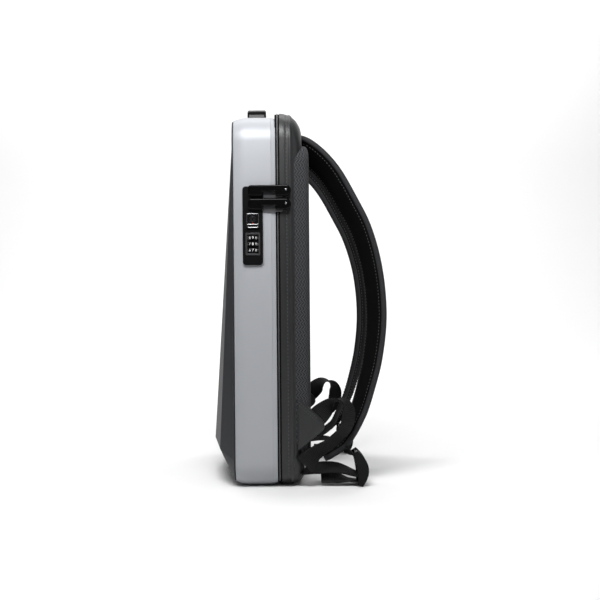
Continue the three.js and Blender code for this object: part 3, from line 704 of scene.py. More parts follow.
@dataclass
class Body:
    """Rounded box that the frame, the zip line and the gusset share, in millimetres."""

    half: float = 155.0
    height: float = 464.0
    corner: float = 34.0
    front: float = -29.0
    rear: float = 23.4
    zip_front: float = 23.7
    zip_rear: float = 28.3
    gusset_front: float = 28.6
    back_wall: float = 57.0

    def ring(self, insets: Array, depths: Array) -> Array:
        """Carries a profile round the body."""
        return ring_points(insets, depths, self.half, 0.0, self.height, self.corner)


@dataclass
class SideFrame:
    """Silver moulded frame with a bevelled front edge and a rim strip beside the zip."""

    body: Body
    bevel_depth: float = 12.0
    bevel_inset: float = 3.5
    strip_depth: float = 5.5
    strip_inset: float = 0.5
    strip_slope: float = 0.9
    wall: float = 2.9
    pocket: tuple[float, float] = (19.8, 86.8)
    pocket_centre: Array = field(default_factory=lambda: np.array([-5.0, 324.8]))
    pocket_past: tuple[float, float] = (4.0, 2.0)
    pocket_sharp: float = 35.0

    def build(self, wardrobe: Wardrobe) -> None:
        """Makes the frame from its profile carried round the body.

        The profile's corners are inset, depth and rounding.

        Args:
            wardrobe: the finishes.
        """
        body = self.body
        strip = body.rear - self.strip_depth
        profile = round_profile([
            (self.bevel_inset, body.front, 1.2),
            (0.0, body.front + self.bevel_depth, 4.5),
            (0.0, strip, 0.35),
            (self.strip_inset, strip + 0.5, 0.2),
            (self.strip_inset + self.strip_slope, body.rear, 0.5),
            (self.wall, body.rear, 0.3),
            (self.wall, body.front + self.bevel_depth, 3.0),
            (self.bevel_inset + self.wall, body.front, 0.3),
        ])
        piece = grid_object("side_frame", body.ring(profile[:, 0], profile[:, 1]), ring=True)
        self.cut_pocket(piece)
        finish_piece(piece, wardrobe.of(Slot.SILVER), "shell_frame")

    def cut_pocket(self, piece: bpy.types.Object) -> None:
        """Cuts the opening in the wall that the lock's body sits in.

        Args:
            piece: the frame, whose mesh is replaced by the cut one.
        """
        half_y, half_z = (size / 2 for size in self.pocket)
        corners = np.array([(-half_y, -half_z), (half_y, -half_z), (half_y, half_z), (-half_y, half_z)])
        spots = self.pocket_centre + corners
        sides = (-self.wall - self.pocket_past[0], self.pocket_past[1])
        cutter = grid_object("pocket", np.stack([
            np.column_stack([np.full(len(spots), self.body.half + side), spots]) for side in sides
        ]))
        cut = piece.modifiers.new("lock pocket", "BOOLEAN")
        cut.object, cut.operation, cut.solver = cutter, "DIFFERENCE", "EXACT"
        bpy.context.view_layer.update()
        whole = piece.evaluated_get(bpy.context.evaluated_depsgraph_get())
        piece.data = bpy.data.meshes.new_from_object(whole)
        piece.data.set_sharp_from_angle(angle=math.radians(self.pocket_sharp))
        piece.modifiers.clear()
        bpy.data.objects.remove(cutter)


@dataclass
class ZipLine:
    """Zip tape with a raised row of coil teeth down its middle."""

    body: Body
    tape_inset: float = 3.0
    tape_thickness: float = 1.4
    tape_overlap: float = 1.0
    tape_step: int = 6
    coil_inset: float = 1.7
    coil_width: float = 1.6
    coil_sink: float = 0.5
    coil_bow: float = 0.3
    coil_side: float = 0.8
    coil_top_wave: float = 0.4
    top_rise: float = 7.2
    tooth_pitch: float = 2.0
    tooth_rise: float = 0.45
    samples: int = 3600

    def carry(self, profile: Array, outline: Array, wave: Array) -> Array:
        """Carries a profile round the zip's line.

        A point moves inwards by its inset, less its share of the wave, and upwards by the rise
        times the upward part of the outline's direction.

        Args:
            profile: inset, depth and share of the wave of each point.
            outline: x, z and the outward direction's x and z, each along the line.
            wave: height of the teeth along the line.

        Returns:
            Grid of profile points by places along the line by three.
        """
        x, z, out_x, out_z = outline
        inset = profile[:, :1] - profile[:, 2:3] * wave[None]
        depth = np.broadcast_to(profile[:, 1:2], inset.shape)
        lift = self.top_rise * np.maximum(out_z, 0)
        return np.stack([x - out_x * inset, depth, z - out_z * inset + lift], axis=-1)

    def build(self, wardrobe: Wardrobe) -> None:
        """Makes the tape and its teeth.

        The teeth's height is a cosine of the distance along the line, in turns of their pitch.

        Args:
            wardrobe: the finishes.
        """
        body = self.body
        sizes = (np.array([size]) for size in (body.half, 0.0, body.height, body.corner))
        flat, normal = outline_grid(*sizes)
        loop = np.concatenate([flat[0], normal], axis=1)
        loop = np.vstack([loop, loop[:1]])
        run = arc_lengths(loop[:, :2])
        teeth = round(run[-1] / self.tooth_pitch)
        at = np.linspace(0, run[-1], self.samples, endpoint=False)
        outline = np.stack([np.interp(at, run, column) for column in loop.T])
        wave = np.cos(2 * math.pi * teeth * at / run[-1]) * self.tooth_rise / 2
        middle = (body.zip_front + body.zip_rear) / 2
        half = self.coil_width / 2
        outer, inner = self.tape_inset, self.tape_inset + self.tape_thickness
        front, rear = body.zip_front - self.tape_overlap, body.gusset_front + self.tape_overlap
        tape = np.array([(outer, front, 0), (outer, rear, 0), (inner, rear, 0), (inner, front, 0)])
        foot, side = self.tape_inset + self.coil_sink, self.coil_inset + self.coil_bow
        near = half * self.coil_side
        coil = np.array([
            (foot, middle - half, 0), (side, middle - near, 1),
            (self.coil_inset, middle, self.coil_top_wave),
            (side, middle + near, 1), (foot, middle + half, 0),
        ])
        piece = grid_object("zip_tape", self.carry(tape, outline, wave)[:, ::self.tape_step], ring=True)
        finish_piece(piece, wardrobe.of(Slot.ZIP), "zipper_tape")
        piece = grid_object("zip_teeth", self.carry(coil, outline, wave), ring=True)
        finish_piece(piece, wardrobe.of(wardrobe.teeth))


@dataclass
class Gusset:
    """Coated leather gusset that rounds over into the back, with its welt and stitching."""

    body: Body
    rise: float = 5.5
    lift: float = 1.0
    corner: float = 36.0
    round_top: float = 27.5
    round_side: float = 21.0
    round_bottom: float = 9.0
    wall: float = 2.5
    welt_offset: float = 11.0
    welt_width: float = 5.0
    welt_proud: float = 1.15
    welt_points: int = 14
    clearance: float = 0.05
    stitch_offset: float = 8.4
    stitch_pitch: float = 4.6
    stitch_length: float = 3.3
    stitch_radius: float = 0.55
    stitch_proud: float = 0.1
    top_power: float = 2.0
    side_power: float = 3.2
    bottom_power: float = 5.0
    groove: float = 0.5
    groove_spread: float = 1.4
    outer_rows: int = 34
    inner_rows: int = 3
    inner_reach: float = 0.6

    @property
    def depth(self) -> float:
        """Depth of the gusset along Y."""
        return self.body.back_wall - self.body.gusset_front

    def loops(self, rows: Array, growth: Array | float = 0.0) -> Array:
        """Outlines of the gusset.

        Args:
            rows: depth, top, side and bottom shares of each outline.
            growth: how far each lies outside the gusset's surface.

        Returns:
            Grid of outlines by points by three.
        """
        growth = np.broadcast_to(growth, len(rows)).astype(float)
        half = self.body.half - rows[:, 2] * self.round_side + growth
        bottom = self.lift + rows[:, 3] * self.round_bottom - growth
        top = self.body.height + self.rise - rows[:, 1] * self.round_top + growth
        flat, _ = outline_grid(half, bottom, top, self.corner + growth)
        y = np.broadcast_to((self.body.gusset_front + rows[:, 0] * self.depth)[:, None], flat.shape[:2])
        return np.stack([flat[..., 0], y, flat[..., 1]], axis=-1)

    def rows_at(self, depths: Array) -> Array:
        """Depth, top, side and bottom shares at given shares of the depth.

        Each is one less the square root of one less a power of the depth, so the gusset rounds
        over like an ellipse, tighter for a higher power.
        """
        powers = (self.top_power, self.side_power, self.bottom_power)
        return np.stack([depths, *(1 - np.sqrt(1 - depths**power) for power in powers)], axis=1)

    def build(self, wardrobe: Wardrobe) -> None:
        """Makes the gusset, its welt and the stitches in front of the welt.

        A shallow bell-shaped groove takes the stitches. The welt's section is a circle, flattened
        to its own width and height.

        Args:
            wardrobe: the finishes.
        """
        share = np.sin(np.linspace(0, math.pi / 2, self.outer_rows))
        from_groove = (share * self.depth - self.stitch_offset) / self.groove_spread
        dip = -self.groove * np.exp(-(from_groove**2))
        inner = self.loops(self.rows_at(np.linspace(self.inner_reach, 0, self.inner_rows)), -self.wall)
        grid = np.concatenate([inner, self.loops(self.rows_at(share), dip)])
        piece = grid_object("rear_gusset_skin", grid)
        finish_piece(piece, wardrobe.of(Slot.GUSSET), "rear_gusset")
        turn = np.linspace(0, 2 * math.pi, self.welt_points, endpoint=False)
        reach = (self.welt_offset + self.welt_width / 2 * (1 + np.sin(turn))) / self.depth
        rise = self.welt_proud * np.cos(turn)
        loops = self.loops(self.rows_at(reach), rise)
        loops[..., 2] = np.maximum(loops[..., 2], self.clearance)
        piece = grid_object("gusset_welt", loops, ring=True)
        finish_piece(piece, wardrobe.of(Slot.GUSSET), "gusset_piping")
        self.add_stitches(wardrobe)

    def add_stitches(self, wardrobe: Wardrobe) -> None:
        """Sews a row of stitches round the gusset, just in front of the welt.

        Args:
            wardrobe: the finishes.
        """
        share = self.stitch_offset / self.depth
        loop = self.loops(self.rows_at(np.array([share])), self.stitch_proud - self.groove)[0]
        loop = np.vstack([loop, loop[:1]])
        run = arc_lengths(loop)
        count = round(run[-1] / self.stitch_pitch)
        at = (np.arange(count) + 0.5) * run[-1] / count
        centres = np.stack([np.interp(at, run, loop[:, i]) for i in range(3)], axis=1)
        ahead = np.stack([np.interp((at + 1) % run[-1], run, loop[:, i]) for i in range(3)], axis=1)
        along = unit(ahead - centres)
        out = np.cross(along, np.array([0, 1.0, 0]))
        out *= np.sign(np.einsum("ij,ij->i", out, centres - loop.mean(0)))[:, None]
        sizes = (self.stitch_length, self.stitch_radius)
        piece = stitch_object("gusset_stitches", centres, along, out, *sizes)
        finish_piece(piece, wardrobe.of(wardrobe.thread))


@dataclass
class BackPad:
    """Padded mesh back with a shallow air channel down its middle."""

    body: Body
    proud: float = 8.0
    side_inset: float = 2.6
    depth: float = 21.2
    top_drop: float = 37.5
    bottom_rise: float = 34.0
    corner: float = 24.0
    rounding: float = 11.0
    rounding_depth: float = 6.05
    edge_rows: int = 10
    tuck: float = 2.0
    skirt: float = 3.0
    face_reach: float = 148.0
    face_rows: int = 22
    face_step: float = 5.0
    swell: float = 1.2
    swell_reach: float = 40.0
    channel: float = 3.0
    channel_spread: float = 16.0
    channel_onset: float = 1.5

    def build(self, wardrobe: Wardrobe) -> None:
        """Makes the pad.

        Its edge is a quarter of an ellipse. Behind it the face swells by a sine of the share of
        the way in, less a bell-shaped channel along the middle.

        Args:
            wardrobe: the finishes.
        """
        turn = np.linspace(0, math.pi / 2, self.edge_rows)
        edge_inset = self.rounding * (1 - np.cos(turn))
        face = self.body.back_wall + self.proud
        edge_y = face - self.rounding_depth + self.rounding_depth * np.sin(turn)
        inner = np.linspace(self.rounding + self.face_step, self.face_reach, self.face_rows)
        insets = np.concatenate([[self.tuck, 0.0, 0.0], edge_inset, inner])
        start = face - self.depth
        depths = np.concatenate([[start, start, start + self.skirt], edge_y, np.full(self.face_rows, face)])
        half = self.body.half - self.side_inset
        grid = ring_points(
            insets, depths, half, self.bottom_rise, self.body.height - self.top_drop, self.corner
        )
        share = np.clip((insets - self.rounding) / self.swell_reach, 0, 1)[:, None]
        swell = self.swell * np.sin(share * math.pi / 2)
        bell = np.exp(-((grid[..., 0] / self.channel_spread) ** 2))
        grid[..., 1] += swell - self.channel * bell * np.minimum(share * self.channel_onset, 1)
        u = np.sign(grid[..., 0]) * (grid[..., 1] - face) - grid[..., 0]
        uv = np.stack([u, grid[..., 2]], axis=-1) * MM
        uv = np.concatenate([uv, uv[:, :1]], axis=1)
        piece = grid_object("mesh_back_pad", grid, uv=uv)
        finish_piece(piece, wardrobe.of(Slot.MESH), "back_pad")


@dataclass
class Wing:
    """Sewn triangular tab low on the side, from which the lower webbing starts.

    A row is a corner of its outline: share of the length to the rear, and share of the height
    down. A step is how far the outline has shrunk, and how far it stands off the tab's foot.
    """

    body: Body
    side: Side
    length: float = 33.5
    height: float = 66.0
    thickness: float = 7.0
    top: float = 112.0
    face: float = 154.4
    start: float = 48.6
    rows: Array = field(
        default_factory=lambda: np.array([
            (0, 0), (0, 1), (0.5, 0.8), (0.93, 0.62), (1, 0.56), (0.97, 0.47), (0.9, 0.41),
        ])
    )
    steps: Array = field(
        default_factory=lambda: np.array([
            (1.6, 0), (0.3, 0.8), (0, 2), (0, 5.6), (0.35, 6.5), (1.4, 7.0), (4, 7.3), (9, 7.3),
        ])
    )
    corner: float = 2.5
    corner_share: float = 0.4
    corner_points: int = 4
    seam_offsets: tuple[float, float] = (3.0, 6.0)
    seam_ends: tuple[float, float] = (5.0, 4.0)
    stitch_pitch: float = 3.6
    stitch_length: float = 2.6
    stitch_radius: float = 0.45
    stitch_proud: float = 0.2

    def build(self, wardrobe: Wardrobe) -> None:
        """Makes the tab from outlines that shrink towards its middle as it closes.

        Args:
            wardrobe: the finishes.
        """
        out, down = self.rows.T
        spots = np.stack([self.start + out * self.length, self.top - down * self.height], axis=1)
        reaches = np.minimum(self.corner, self.corner_share * self.shortest(spots))
        loop = round_profile(np.column_stack([spots, reaches]), self.corner_points)
        middle = loop.mean(0)
        span = np.linalg.norm(loop - middle, axis=1)
        scale = 1 - self.steps[:, :1] / span[None]
        flat = middle + (loop - middle)[None] * scale[..., None]
        x = np.broadcast_to((self.face - self.thickness + self.steps[:, 1])[:, None], flat.shape[:2])
        points = np.stack([x, flat[..., 0], flat[..., 1]], axis=-1)
        piece = grid_object(f"wing_tab_{self.side.word}", mirrored(points, self.side))
        finish_piece(piece, wardrobe.of(Slot.GUSSET), f"wing_{self.side.word}")
        self.add_stitches(wardrobe, spots)

    @staticmethod
    def shortest(spots: Array) -> Array:
        """Length of the shorter edge at each corner."""
        after = np.linalg.norm(np.roll(spots, -1, axis=0) - spots, axis=1)
        return np.minimum(after, np.roll(after, 1))

    def add_stitches(self, wardrobe: Wardrobe, spots: Array) -> None:
        """Sews two rows along the slanted top seam.

        Args:
            wardrobe: the finishes.
            spots: corners of the tab's outline.
        """
        start, end = spots[0], spots[-1]
        run = unit(end - start)
        down = np.array([run[1], -run[0]])
        down = down if down[1] < 0 else -down
        rows = []
        first, last = self.seam_ends
        for offset in self.seam_offsets:
            at = np.arange(first, np.linalg.norm(end - start) - last, self.stitch_pitch)
            rows.append(start + run * at[:, None] + down * offset)
        flat = np.vstack(rows)
        centres = np.column_stack([np.full(len(flat), self.face + self.stitch_proud), flat])
        along = np.broadcast_to([0.0, run[0], run[1]], centres.shape)
        out = np.broadcast_to([1.0, 0, 0], centres.shape)
        points = [mirrored(v, self.side) for v in (centres, along, out)]
        sizes = (self.stitch_length, self.stitch_radius)
        piece = stitch_object(f"wing_stitches_{self.side.word}", *points, *sizes)
        finish_piece(piece, wardrobe.of(wardrobe.thread))


@dataclass
class ShoulderStrap:
    """Padded strap with bound and stitched edges.

    A row is a point of its middle line: share of the reach behind the back wall, share of the
    body's height, share of the spread, tilt of the face in degrees, and share of the width.
    """

    body: Body
    side: Side
    width: float = 52.0
    thickness: float = 9.0
    reach: float = 95.0
    spread: float = 97.0
    samples: int = 150
    section_points: int = 17
    crown: float = 1.12
    edge_drop: float = 0.5
    edge_cover: float = 0.6
    binding_inset: float = 1.2
    binding_width: float = 2.6
    binding_share: float = 0.33
    binding_proud: float = 0.5
    binding_points: int = 14
    stitch_inset: float = 6.5
    stitch_pitch: float = 4.2
    stitch_ends: tuple[float, float] = (6.0, 20.0)
    stitch_length: float = 2.9
    stitch_radius: float = 0.42
    stitch_proud: float = 0.1
    rows: Array = field(
        default_factory=lambda: np.array([
            (-0.12, 0.934, 0.86, 24, 1), (0.03, 0.925, 0.87, 24, 1), (0.21, 0.897, 0.88, 24, 1),
            (0.4, 0.851, 0.9, 24, 1), (0.63, 0.768, 0.93, 23, 1), (0.8, 0.696, 0.96, 22, 1),
            (0.945, 0.588, 0.98, 20, 1), (1, 0.457, 1, 19, 1), (0.945, 0.341, 1.01, 17, 1),
            (0.855, 0.263, 1.02, 15, 0.99), (0.75, 0.194, 1.03, 14, 0.96), (0.62, 0.137, 1.06, 12, 0.88),
            (0.53, 0.105, 1.08, 8, 0.78), (0.42, 0.085, 1.09, 4, 0.68), (0.33, 0.073, 1.1, 2, 0.62),
            (0.27, 0.067, 1.1, 0, 0.52),
        ])
    )

    def places(self) -> Array:
        """Points of the table in millimetres."""
        y = self.body.back_wall + self.rows[:, 0] * self.reach
        z = self.rows[:, 1] * self.body.height
        return np.stack([self.rows[:, 2] * self.spread, y, z], axis=1)

    def half_thickness(self, share: Array | float) -> Array | float:
        """Half the thickness at a share of the half width: the crown less a fourth power."""
        return self.thickness / 2 * (self.crown - self.edge_drop * share**4)

    def frames(self) -> tuple[Array, Array, Array, Array]:
        """Works out how the strap runs.

        Its face looks away from the bag at right angles to the run, tilted by the table's angle.

        Returns:
            Middle line, direction across, direction of the outer face, and width at each sample.
        """
        rows = np.concatenate([self.places(), self.rows[:, 3:]], axis=1)
        line = smooth_route(rows[:, :3], self.samples)
        share = np.linspace(0, len(rows) - 1, self.samples)
        tilt = np.radians(np.interp(share, np.arange(len(rows)), rows[:, 3]))[:, None]
        width = self.width * np.interp(share, np.arange(len(rows)), rows[:, 4])
        along = unit(np.gradient(line, axis=0))
        outward = unit(np.stack([0 * along[:, 0], -along[:, 2], along[:, 1]], axis=1))
        face = outward * np.cos(tilt) - np.array([1.0, 0, 0]) * np.sin(tilt)
        _, across, out = band_frames(line, face)
        return line, across, out, width

    def build(self, wardrobe: Wardrobe) -> None:
        """Makes the padded body, its bound edges and the stitches inside them.

        The section's half thickness falls from its middle to its edges as the fourth power of the
        share of the half width.

        Args:
            wardrobe: the finishes.
        """
        line, across, out, width = self.frames()
        share = np.linspace(-1, 1, self.section_points)
        bulge = self.half_thickness(share)
        a = np.concatenate([share, share[::-1]])[None] * (width[:, None] / 2 - self.edge_cover)
        b = np.broadcast_to(np.concatenate([bulge, -bulge[::-1]]), a.shape)
        points = sections_along(line, across, out, a, b)
        word = self.side.word
        piece = grid_object(f"strap_pad_{word}", mirrored(points, self.side), uv=band_map(a, line))
        finish_piece(piece, wardrobe.of(Slot.STRAP), f"shoulder_strap_{word}")
        for edge, label in ((1, "outer"), (-1, "inner")):
            rim = line + across * (edge * (width / 2 - self.binding_inset))[:, None]
            points = self.binding(rim, across, out)
            tape = grid_object(f"strap_binding_{label}_{word}", mirrored(points, self.side))
            finish_piece(tape, wardrobe.of(wardrobe.binding))
        self.add_stitches(wardrobe, line, across, out, width)

    def binding(self, rim: Array, across: Array, out: Array) -> Array:
        """Edge tape: an ellipse that takes in the strap's edge, carried along it.

        Args:
            rim: middle line of the tape.
            across: direction across the strap at each sample.
            out: direction of its outer face at each sample.

        Returns:
            Grid of samples by section points by three.
        """
        turn = np.linspace(0, 2 * math.pi, self.binding_points, endpoint=False)
        half = self.thickness * self.binding_share + self.binding_proud
        return sections_along(rim, across, out, self.binding_width * np.cos(turn), half * np.sin(turn))

    def add_stitches(
        self, wardrobe: Wardrobe, line: Array, across: Array, out: Array, width: Array
    ) -> None:
        """Sews a row beside each bound edge, on both faces.

        Args:
            wardrobe: the finishes.
            line: middle line of the strap.
            across: direction across it at each sample.
            out: direction of its outer face at each sample.
            width: width at each sample.
        """
        run = arc_lengths(line)
        at = np.arange(self.stitch_ends[0], run[-1] - self.stitch_ends[1], self.stitch_pitch)
        mid, cross, face = (
            np.stack([np.interp(at, run, column) for column in table.T], axis=1)
            for table in (line, across, out)
        )
        cross, face = unit(cross), unit(face)
        half = np.interp(at, run, width) / 2
        inset = half - self.stitch_inset
        rise = self.half_thickness(inset / half) + self.stitch_proud
        along = unit(np.cross(face, cross))
        signs = [(edge, front) for edge in (1, -1) for front in (1, -1)]
        centres = np.vstack([
            mid + cross * (edge * inset)[:, None] + face * (front * rise)[:, None] for edge, front in signs
        ])
        outs = np.vstack([face * front for _, front in signs])
        sets = [mirrored(v, self.side) for v in (centres, np.tile(along, (len(signs), 1)), outs)]
        sizes = (self.stitch_length, self.stitch_radius)
        piece = stitch_object(f"strap_stitches_{self.side.word}", *sets, *sizes)
        finish_piece(piece, wardrobe.of(wardrobe.thread))


@dataclass
class Ladder:
    """Where the ladder lock stands: its side line bows outwards between its foot and its top."""

    body: Body
    spread: float = 130.0
    reach: float = 69.0
    lean: float = 6.0
    height: float = 42.0
    bulge: float = 9.0
    foot: float = 0.6
    bar_radius: float = 2.1
    bars: tuple[float, float, float] = (0.16, 0.52, 0.94)
    turn_points: int = 7

    def point(self, share: float) -> Array:
        """Middle of the side rail at a share of its height, as (y, z)."""
        bow = math.sin(math.pi * share) * self.bulge - share * self.lean
        return np.array([self.body.back_wall + self.reach + bow, self.foot + share * self.height])

    def turn_round(self, share: float, clear: float, first: float, last: float) -> Array:
        """Points on the way round a bar, on a circle in the plane across X.

        Args:
            share: share of the height at which the bar lies.
            clear: distance from its axis.
            first: angle of the first point in degrees.
            last: angle of the last one.

        Returns:
            The points, one a row.
        """
        angle = np.radians(np.linspace(first, last, self.turn_points))
        y, z = self.point(share)
        x = np.full(self.turn_points, self.spread)
        return np.stack([x, y + clear * np.cos(angle), z + clear * np.sin(angle)], axis=1)


@dataclass
class LadderLock:
    """Adjusting buckle: two bowed rails joined by three bars."""

    ladder: Ladder
    side: Side
    width: float = 34.0
    rail_width: float = 3.6
    end_depth: float = 7.0
    bulge: float = 8.0
    bulge_shift: float = 8 / 3
    rail_edge: float = 1.4
    rail_points: int = 25
    bar_points: int = 5

    def build(self, wardrobe: Wardrobe) -> None:
        """Makes the rails and the bars.

        A rail is as deep as its end plus a sine of the share of its length, and its middle line
        moves towards the bag by a part of that sine.

        Args:
            wardrobe: the finishes.
        """
        ladder, word = self.ladder, self.side.word
        rails = np.linspace(0, 1, self.rail_points)
        swell = np.sin(math.pi * rails)
        depths = self.end_depth + self.bulge * swell
        flat = np.array([ladder.point(share) for share in rails])
        flat[:, 0] -= swell * self.bulge_shift
        reach = (self.width - self.rail_width) / 2
        for edge, label in ((1, "outer"), (-1, "inner")):
            line = np.column_stack([np.full(self.rail_points, ladder.spread + edge * reach), flat])
            looks = np.broadcast_to(np.array([1.0, 0.0, 0.0]), line.shape)
            sets = [mirrored(values, self.side) for values in (line, looks)]
            name, node = f"ladder_rail_{label}_{word}", f"ladder_lock_{word}" if edge == 1 else None
            piece = band_object(name, *sets, depths, self.rail_width, self.rail_edge)
            finish_piece(piece, wardrobe.of(Slot.GLOSS), node)
        for number, share in enumerate(ladder.bars, 1):
            x = ladder.spread + np.linspace(-reach, reach, self.bar_points)
            line = np.column_stack([x, np.tile(ladder.point(share), (self.bar_points, 1))])
            line = mirrored(line, self.side)
            piece = tube_object(f"ladder_bar_{number}_{word}", line, ladder.bar_radius, (0, 0, 1.0))
            finish_piece(piece, wardrobe.of(Slot.GLOSS))


@dataclass
class Webbing:
    """The flat webbing of one side: the arch from the wing, the anchor and the strap's tail.

    A row of the loop is a point of the arch: shares of its reach, top and spread, then the
    direction of its face. A row of the anchor is shares of the ladder's reach and height, then how
    far the face leans.
    """

    body: Body
    side: Side
    ladder: Ladder
    strap: ShoulderStrap
    width: float = 25.0
    thickness: float = 1.8
    gap: float = 0.3
    loop_spread: float = 146.0
    loop_reach: float = 55.0
    loop_top: float = 110.0
    tail_row: int = 11
    edge: float = 0.7
    samples: int = 120
    loop_rows: Array = field(
        default_factory=lambda: np.array([
            (0.205, 0.76, 1.034, -1, 0, 0), (0.315, 0.812, 1.034, -1, 0, 0),
            (0.444, 0.873, 1.03, -0.93, -0.2, 0.3), (0.604, 0.947, 1.02, -0.6, -0.35, 0.72),
            (0.785, 0.973, 1.005, 0, 0.1, 1),
            (0.938, 0.927, 0.99, 0.5, 0.6, 0.62), (1, 0.839, 0.98, 0.7, 0.7, 0.15),
            (0.985, 0.744, 0.98, 0.7, 0.7, -0.1), (0.929, 0.658, 0.985, 0.66, 0.68, -0.3),
            (0.809, 0.589, 0.99, 0.62, 0.5, -0.6), (0.54, 0.473, 1, 0.65, 0.35, -0.65),
            (0.233, 0.383, 1.03, 0.8, 0.25, -0.5), (-0.02, 0.26, 1.05, 1, 0.1, 0),
        ])
    )
    anchor_rows: Array = field(
        default_factory=lambda: np.array([
            (-0.06, 0.36, 0), (0.25, 0.5, 0.5), (0.6, 0.5, 0.4), (0.8, 0.14, 0), (0.6, 0.2, -0.35),
            (0.3, 0.22, -0.4),
        ])
    )
    anchor_turn: int = 3
    anchor_angles: tuple[float, float] = (105.0, -100.0)
    tail_angles: tuple[float, float] = (170.0, 360.0)
    bend_clear: float = 1.3

    def add_band(self, name: str, node: str, rows: Array, faces: Array, wardrobe: Wardrobe) -> None:
        """Makes one band and lets it stand for its node.

        Args:
            name: the piece's name.
            node: the node that it replaces.
            rows: points of its middle line.
            faces: direction of the face at each row, or how far it leans out of the plane across X.
            wardrobe: the finishes.
        """
        line = smooth_route(rows, self.samples)
        along = unit(np.gradient(line, axis=0))
        share, rank = np.linspace(0, len(rows) - 1, self.samples), np.arange(len(rows))
        looks = np.stack([np.interp(share, rank, column) for column in faces.T], axis=1)
        if faces.shape[1] == 1:
            looks = np.column_stack([looks[:, 0], -along[:, 2], along[:, 1]])
        points, looks = mirrored(line, self.side), mirrored(looks, self.side)
        word = self.side.word
        widths = np.full(self.samples, self.width)
        piece = band_object(f"{name}_{word}", points, looks, widths, self.thickness, self.edge)
        finish_piece(piece, wardrobe.of(Slot.WEBBING), f"{node}_{word}")

    def build(self, wardrobe: Wardrobe) -> None:
        """Makes the three bands.

        The anchor goes round the lowest bar between its rows. The tail follows the strap's face,
        bends over the highest bar and goes round the middle one.

        Args:
            wardrobe: the finishes.
        """
        rows, body, ladder = self.loop_rows, self.body, self.ladder
        reach, rise, spread = rows[:, 0] * self.loop_reach, rows[:, 1] * self.loop_top, rows[:, 2]
        arch = np.stack([spread * self.loop_spread, body.back_wall + reach, rise], axis=1)
        self.add_band("arch_webbing", "loop_webbing", arch, rows[:, 3:], wardrobe)
        clear = ladder.bar_radius + 2 * self.gap + self.thickness / 2
        out, up, lean = self.anchor_rows.T
        x = np.full(len(out), ladder.spread)
        anchor = np.stack([x, body.back_wall + out * ladder.reach, up * ladder.height], axis=1)
        turn = ladder.turn_round(ladder.bars[0], clear, *self.anchor_angles)
        route = np.vstack([anchor[:self.anchor_turn], turn, anchor[self.anchor_turn:]])
        lean = np.concatenate([lean[:self.anchor_turn], np.zeros(len(turn)), lean[self.anchor_turn:]])
        self.add_band("corner_webbing", "anchor_webbing", route, lean[:, None], wardrobe)
        places = self.strap.places()
        upper, lower = places[self.tail_row], places[self.tail_row + 1]
        run = unit(lower - upper)
        lift = self.strap.half_thickness(0) + self.gap + self.thickness / 2
        outward = np.array([0, -run[2], run[1]]) * lift
        top_y, top_z = ladder.point(ladder.bars[2])
        bend_x = (lower[0] + 2 * ladder.spread) / 3
        bend = np.array([bend_x, top_y - clear * self.bend_clear, top_z - clear / 2])
        turn = ladder.turn_round(ladder.bars[1], clear, *self.tail_angles)
        route = np.vstack([upper + outward, lower + outward, bend, turn])
        self.add_band("tail_webbing", "strap_tail", route, np.zeros((len(route), 1)), wardrobe)


@dataclass
class Handle:
    """Top handle: a thick band that rises from one mount and comes down to the other.

    A row is a point of its middle line: share of the half length, and share of the rise.
    """

    body: Body
    length: float = 120.0
    width: float = 25.0
    thickness: float = 5.0
    rise: float = 24.5
    shift: float = -1.0
    low: float = 467.0
    edge: float = 2.4
    samples: int = 90
    rows: Array = field(
        default_factory=lambda: np.array([
            (-1, 0), (-1, 0.4), (-0.975, 0.74), (-0.91, 0.93), (-0.78, 1), (-0.3, 1), (0.3, 1), (0.78, 1),
            (0.91, 0.93), (0.975, 0.74), (1, 0.4), (1, 0),
        ])
    )

    def build(self, wardrobe: Wardrobe) -> None:
        """Makes the grip.

        Args:
            wardrobe: the finishes.
        """
        rise = self.body.height + self.rise - self.thickness / 2 - self.low
        half = (self.length - self.thickness) / 2
        across, up = self.rows.T
        shift = np.full(len(up), self.shift)
        line = smooth_route(np.stack([across * half, shift, self.low + up * rise], axis=1), self.samples)
        along = unit(np.gradient(line, axis=0))
        looks = np.stack([-along[:, 2], 0 * along[:, 0], along[:, 0]], axis=1)
        widths = np.full(self.samples, self.width)
        piece = band_object("top_handle", line, looks, widths, self.thickness, self.edge)
        finish_piece(piece, wardrobe.of(Slot.GLOSS), "handle_grip")


@dataclass
class BevelledCopy:
    """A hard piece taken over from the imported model, with its edges rounded."""

    node: str
    slot: Slot
    bevel: float
    segments: int = 3
    angle: float = 30.0
    finish: Finish | None = None
    merge: float = 1e-5
    flat: float = 1.0

    def build(self, wardrobe: Wardrobe) -> None:
        """Copies the node's mesh, merges its doubled vertices and rounds its edges.

        Args:
            wardrobe: the finishes.
        """
        source = frame["nodes"][self.node]
        mesh = source.data.copy()
        mesh.transform(source.matrix_world)
        work = bmesh.new()
        work.from_mesh(mesh)
        bmesh.ops.remove_doubles(work, verts=work.verts, dist=self.merge)
        flat = math.radians(self.flat)
        bmesh.ops.dissolve_limit(work, angle_limit=flat, verts=work.verts, edges=work.edges)
        work.to_mesh(mesh)
        work.free()
        mesh.shade_smooth()
        mesh.set_sharp_from_angle(angle=math.radians(self.angle))
        piece = bpy.data.objects.new(f"{self.node}_finished", mesh)
        bpy.context.scene.collection.objects.link(piece)
        edge = piece.modifiers.new("rounded edges", "BEVEL")
        edge.width = self.bevel * MM
        edge.segments = self.segments
        edge.limit_method = "ANGLE"
        edge.angle_limit = math.radians(self.angle)
        edge.harden_normals = True
        finish_piece(piece, wardrobe.of(self.finish or self.slot), self.node)


